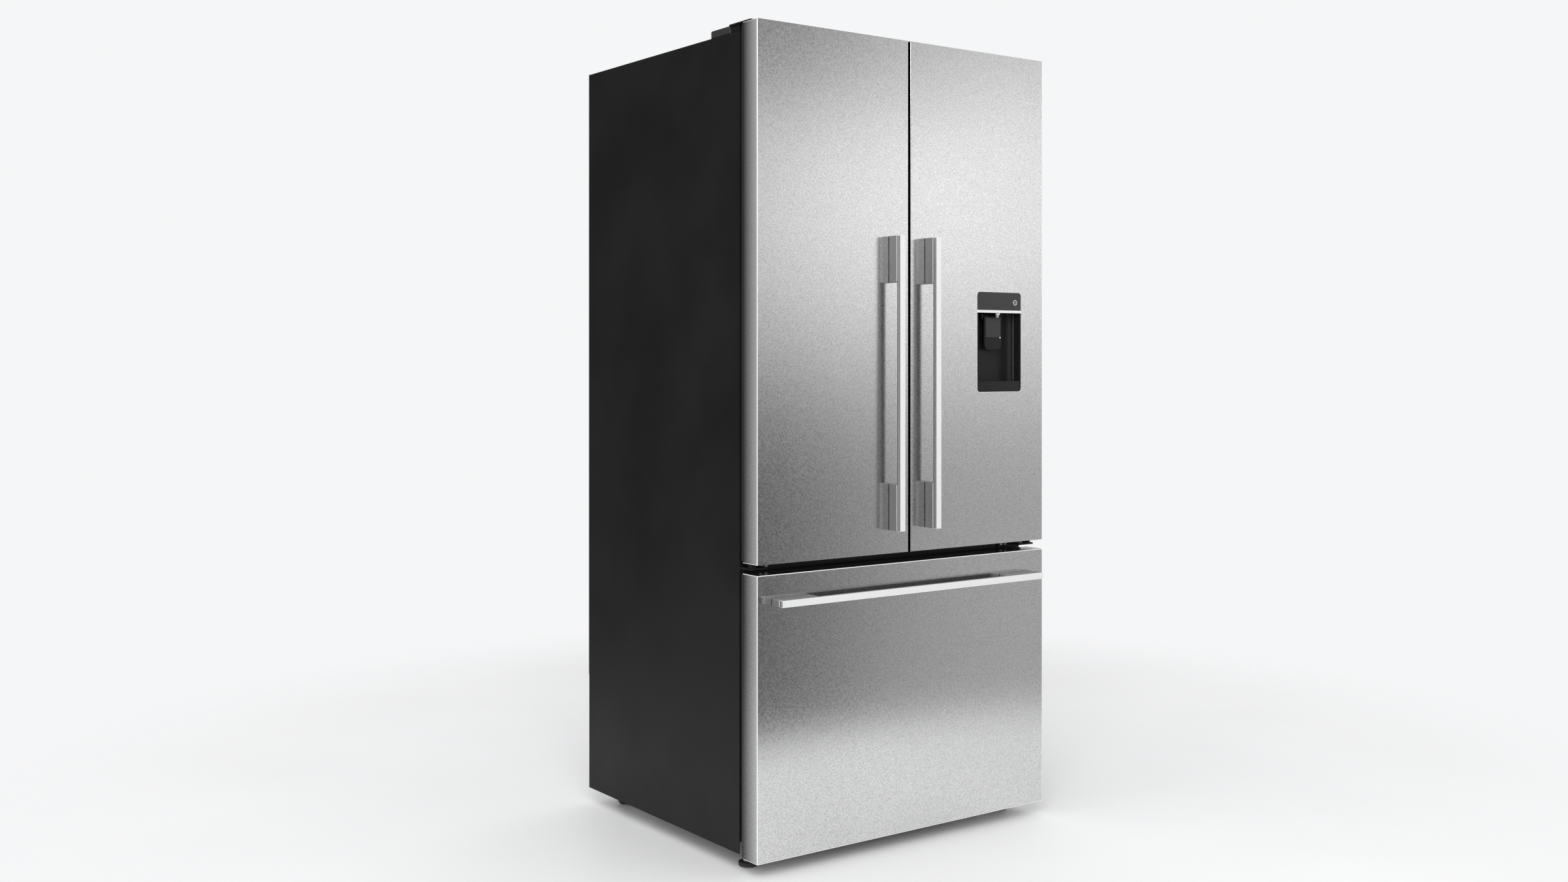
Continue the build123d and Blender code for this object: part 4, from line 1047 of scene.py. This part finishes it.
def foot(side):
    """A round pad with a rubber sole, a hexagon and a threaded stem."""
    name = side + "_foot"
    lo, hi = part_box(name)
    at = ((lo.x + hi.x) / 2, (lo.y + hi.y) / 2)
    piece = Piece(name + "_shown", name, "foot_black", [name])
    sole = ((1, 0), (18.6, 0), (19.4, 0.8), (19.4, 3), (1, 3))
    piece.add(lathe("z", at, [(r * MM, z * MM) for r, z in sole]), RUBBER)
    pad = ((1, 2.9), (19.2, 2.9), (20, 3.7), (20, 7.6), (19.3, 9), (17.6, 9.8), (15, 10), (1, 10))
    piece.add(lathe("z", at, [(r * MM, z * MM) for r, z in pad]), FOOT_BLACK)
    turns = [k * math.pi / 3 for k in range(6)]
    corners = [(at[0] + NUT_R * math.cos(t), at[1] + NUT_R * math.sin(t)) for t in turns]
    nut = prism("z", corners, *NUT_Z)
    bmesh.ops.bevel(nut, geom=nut.edges[:], offset=0.6 * MM, segments=2, affect="EDGES")
    piece.add(nut, ZINC)
    thread = [(THREAD_CORE, NUT_Z[1] - 0.5 * MM)]
    for k in range(int((hi.z - NUT_Z[1]) / THREAD_PITCH)):
        root = NUT_Z[1] + k * THREAD_PITCH
        thread += [(THREAD_CORE, root), (THREAD_CREST, root + THREAD_PITCH / 2)]
    thread += [(THREAD_CORE, hi.z)]
    piece.add(lathe("z", at, thread, steps=6), ZINC)
    piece.place()


rear_sheet()
foot("left")
foot("right")

# The CAD pieces that show as they are, with the width of their edge break in millimetres
EDGE_BREAKS = {
    "cabinet_wrapper": 0.5, "cross_rail": 1.0, "machine_cover": 0.4, "base_frame": 0.4, "door_hinges": 0.5,
    "air_duct_cover": 0.8, "led_light": 1.5, "shelf_frames": 0.8, "shelf_glass": 0.6, "crisper_cover": 0.8,
    "freezer_back_cover": 0.4, "compressor": 0.5, "left_door_caps": 0.8, "right_door_caps": 0.8,
    "dairy_lid": 0.6, "mullion_flap": 0.8, "drip_tray": 0.3, "drawer_arms": 0.5, "drawer_mid_rails": 0.5,
    "drawer_fixed_rails": 0.5, "fasteners": 0.4, "evaporator_fan": 0.3, "condenser_fan": 0.3,
}
for name, width in EDGE_BREAKS.items():
    soften(name, width * MM)


# ---------------------------------------------------------------- stage

FLOOR_HALF = 7.0
FLOOR_CENTRE = (0.3, 0.35, 0)
FLOOR_FADE = (1.3, 2.2)  # the distances from the centre between which it fades out
FLOOR_FRONT = (-1.62, -1.10)  # the Y range over which it fades in from the front

AIR_COLOUR = (0.985, 0.99, 1.0, 1)
AIR_STRENGTH = 0.93
SMOOTH = "SMOOTHSTEP"

CAMERA_SIDE = -2.2006
CAMERA_BEFORE = 2.5821  # in front of the door faces
CAMERA_HEIGHT = 1.036
CAMERA_AIM = (0.5868, 0.8097)  # to the right and to the back
CAMERA_LENS, CAMERA_SENSOR = 36.53, 36.0  # in millimetres
CAMERA_SHIFT = -0.0525


def floor():
    """A pale floor round the object that fades into the pale surroundings."""
    mesh = bpy.data.meshes.new("floor")
    corners = [(u * FLOOR_HALF, v * FLOOR_HALF, 0) for u, v in ((-1, -1), (1, -1), (1, 1), (-1, 1))]
    mesh.from_pydata(corners, [], [(0, 1, 2, 3)])
    obj = bpy.data.objects.new("floor", mesh)
    bpy.context.scene.collection.objects.link(obj)
    look = Look("floor_pale", roughness=0.45, Specular_IOR_Level=0.25)
    tone = look.noise(2.0, 2.0)
    look.colour(look.mix(look.ramp(tone, 0, 1), grey(0.925), grey(0.945)))
    away = look.node("ShaderNodeVectorMath", operation="DISTANCE")
    away.inputs[1].default_value = FLOOR_CENTRE
    look.link(look.coord, away.inputs[0])
    apart = look.node("ShaderNodeSeparateXYZ")
    look.link(look.coord, apart.inputs[0])
    both = look.node("ShaderNodeMath", operation="MULTIPLY")
    look.link(look.ramp(away.outputs["Value"], 1, 0, *FLOOR_FADE, SMOOTH), both.inputs[0])
    look.link(look.ramp(apart.outputs["Y"], 0, 1, *FLOOR_FRONT, SMOOTH), both.inputs[1])
    look.link(both.outputs[0], look.bsdf.inputs["Alpha"])
    mesh.materials.append(look.mat)


def surroundings():
    """Pale studio air; glossy faces see a bright wall over a darker floor, both brighter to the right.

    Bearings turn from the doors' front to the right and heights rise from the horizon, both in degrees.
    To the camera the doors mirror bearings from 35, at their left edge, to 45, at their right one.
    """
    world = bpy.data.worlds.new("studio")
    bpy.context.scene.world = world
    world.use_nodes = True
    tree = world.node_tree
    tree.nodes.clear()

    def node(kind, **values):
        made = tree.nodes.new(kind)
        for key, value in values.items():
            setattr(made, key, value)
        return made

    def math_node(operation, a, b=None):
        made = node("ShaderNodeMath", operation=operation)
        for socket, value in ((0, a), (1, b)):
            if isinstance(value, (int, float)):
                made.inputs[socket].default_value = value
            elif value is not None:
                tree.links.new(value, made.inputs[socket])
        return made.outputs[0]

    def glide(value, start, stop, low, high):
        """A smooth step between two levels; each level is a number or an output."""
        made = node("ShaderNodeMapRange", interpolation_type=SMOOTH)
        made.inputs["From Min"].default_value = start
        made.inputs["From Max"].default_value = stop
        tree.links.new(value, made.inputs["Value"])
        for socket, level in (("To Min", low), ("To Max", high)):
            if isinstance(level, (int, float)):
                made.inputs[socket].default_value = level
            else:
                tree.links.new(level, made.inputs[socket])
        return made.outputs["Result"]

    direction = node("ShaderNodeTexCoord").outputs["Generated"]
    parts = node("ShaderNodeSeparateXYZ")
    tree.links.new(direction, parts.inputs[0])
    x, y, z = parts.outputs
    height = math_node("MULTIPLY", math_node("ARCSINE", z), 180 / math.pi)
    bearing = math_node("MULTIPLY", math_node("ARCTAN2", x, math_node("MULTIPLY", y, -1.0)), 180 / math.pi)
    # What the doors mirror, from below: near floor, far floor, bright wall, and the dimmer air over it
    far_floor = glide(bearing, 34, 42, 0.0, 0.77)
    wall = glide(bearing, 32, 40, 0.70, 1.86)
    over_wall = math_node("MULTIPLY", wall, glide(bearing, 35.5, 44, 0.17, 0.66))
    floor_tone = glide(height, -17.5, -13.5, 0.45, far_floor)
    floor_and_wall = glide(height, -4.8, 5.5, floor_tone, wall)
    mirrored = glide(height, 7.0, 11.5, floor_and_wall, over_wall)
    # To both sides of that the air only brightens upwards, and at the back left it is dark
    left_air = glide(bearing, -110, -80, 0.12, glide(height, -20, 25, 0.35, 0.85))
    right_air = glide(height, -20, 25, 0.36, 0.74)
    strength = glide(bearing, 42, 56, glide(bearing, 14, 31, left_air, mirrored), right_air)
    polished = node("ShaderNodeBackground")
    tree.links.new(strength, polished.inputs["Strength"])
    plain = node("ShaderNodeBackground")
    plain.inputs["Color"].default_value = AIR_COLOUR
    plain.inputs["Strength"].default_value = AIR_STRENGTH
    path = node("ShaderNodeLightPath")
    pick = node("ShaderNodeMixShader")
    tree.links.new(path.outputs["Is Glossy Ray"], pick.inputs["Fac"])
    tree.links.new(plain.outputs[0], pick.inputs[1])
    tree.links.new(polished.outputs[0], pick.inputs[2])
    out = node("ShaderNodeOutputWorld")
    tree.links.new(pick.outputs[0], out.inputs["Surface"])
    world.cycles.sampling_method = "NONE"


def lamp(name, place_at, aim, size, power):
    """A soft square light that the camera doesn't see."""
    data = bpy.data.lights.new(name, "AREA")
    data.energy, data.size = power, size
    obj = bpy.data.objects.new(name, data)
    obj.location = place_at
    obj.rotation_euler = (Vector(aim) - Vector(place_at)).to_track_quat("-Z", "Y").to_euler()
    obj.visible_camera = False
    bpy.context.scene.collection.objects.link(obj)


def camera():
    """Stands left of the doors at chest height, level, with the horizon above the picture's middle."""
    data = bpy.data.cameras.new("camera")
    data.sensor_width, data.lens = CAMERA_SENSOR, CAMERA_LENS
    data.shift_y = CAMERA_SHIFT
    obj = bpy.data.objects.new("camera", data)
    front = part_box("left_door_skin")[0].y
    obj.location = (CAMERA_SIDE, front - CAMERA_BEFORE, CAMERA_HEIGHT)
    obj.rotation_euler = (math.pi / 2, 0, -math.atan2(*CAMERA_AIM))
    bpy.context.scene.collection.objects.link(obj)
    bpy.context.scene.camera = obj


floor()
surroundings()
lamp("key_light", place_at=(-2.6, -3.4, 3.4), aim=(0, 0, 0.8), size=2.5, power=95)
camera()
bpy.context.scene.view_settings.view_transform = "Standard"
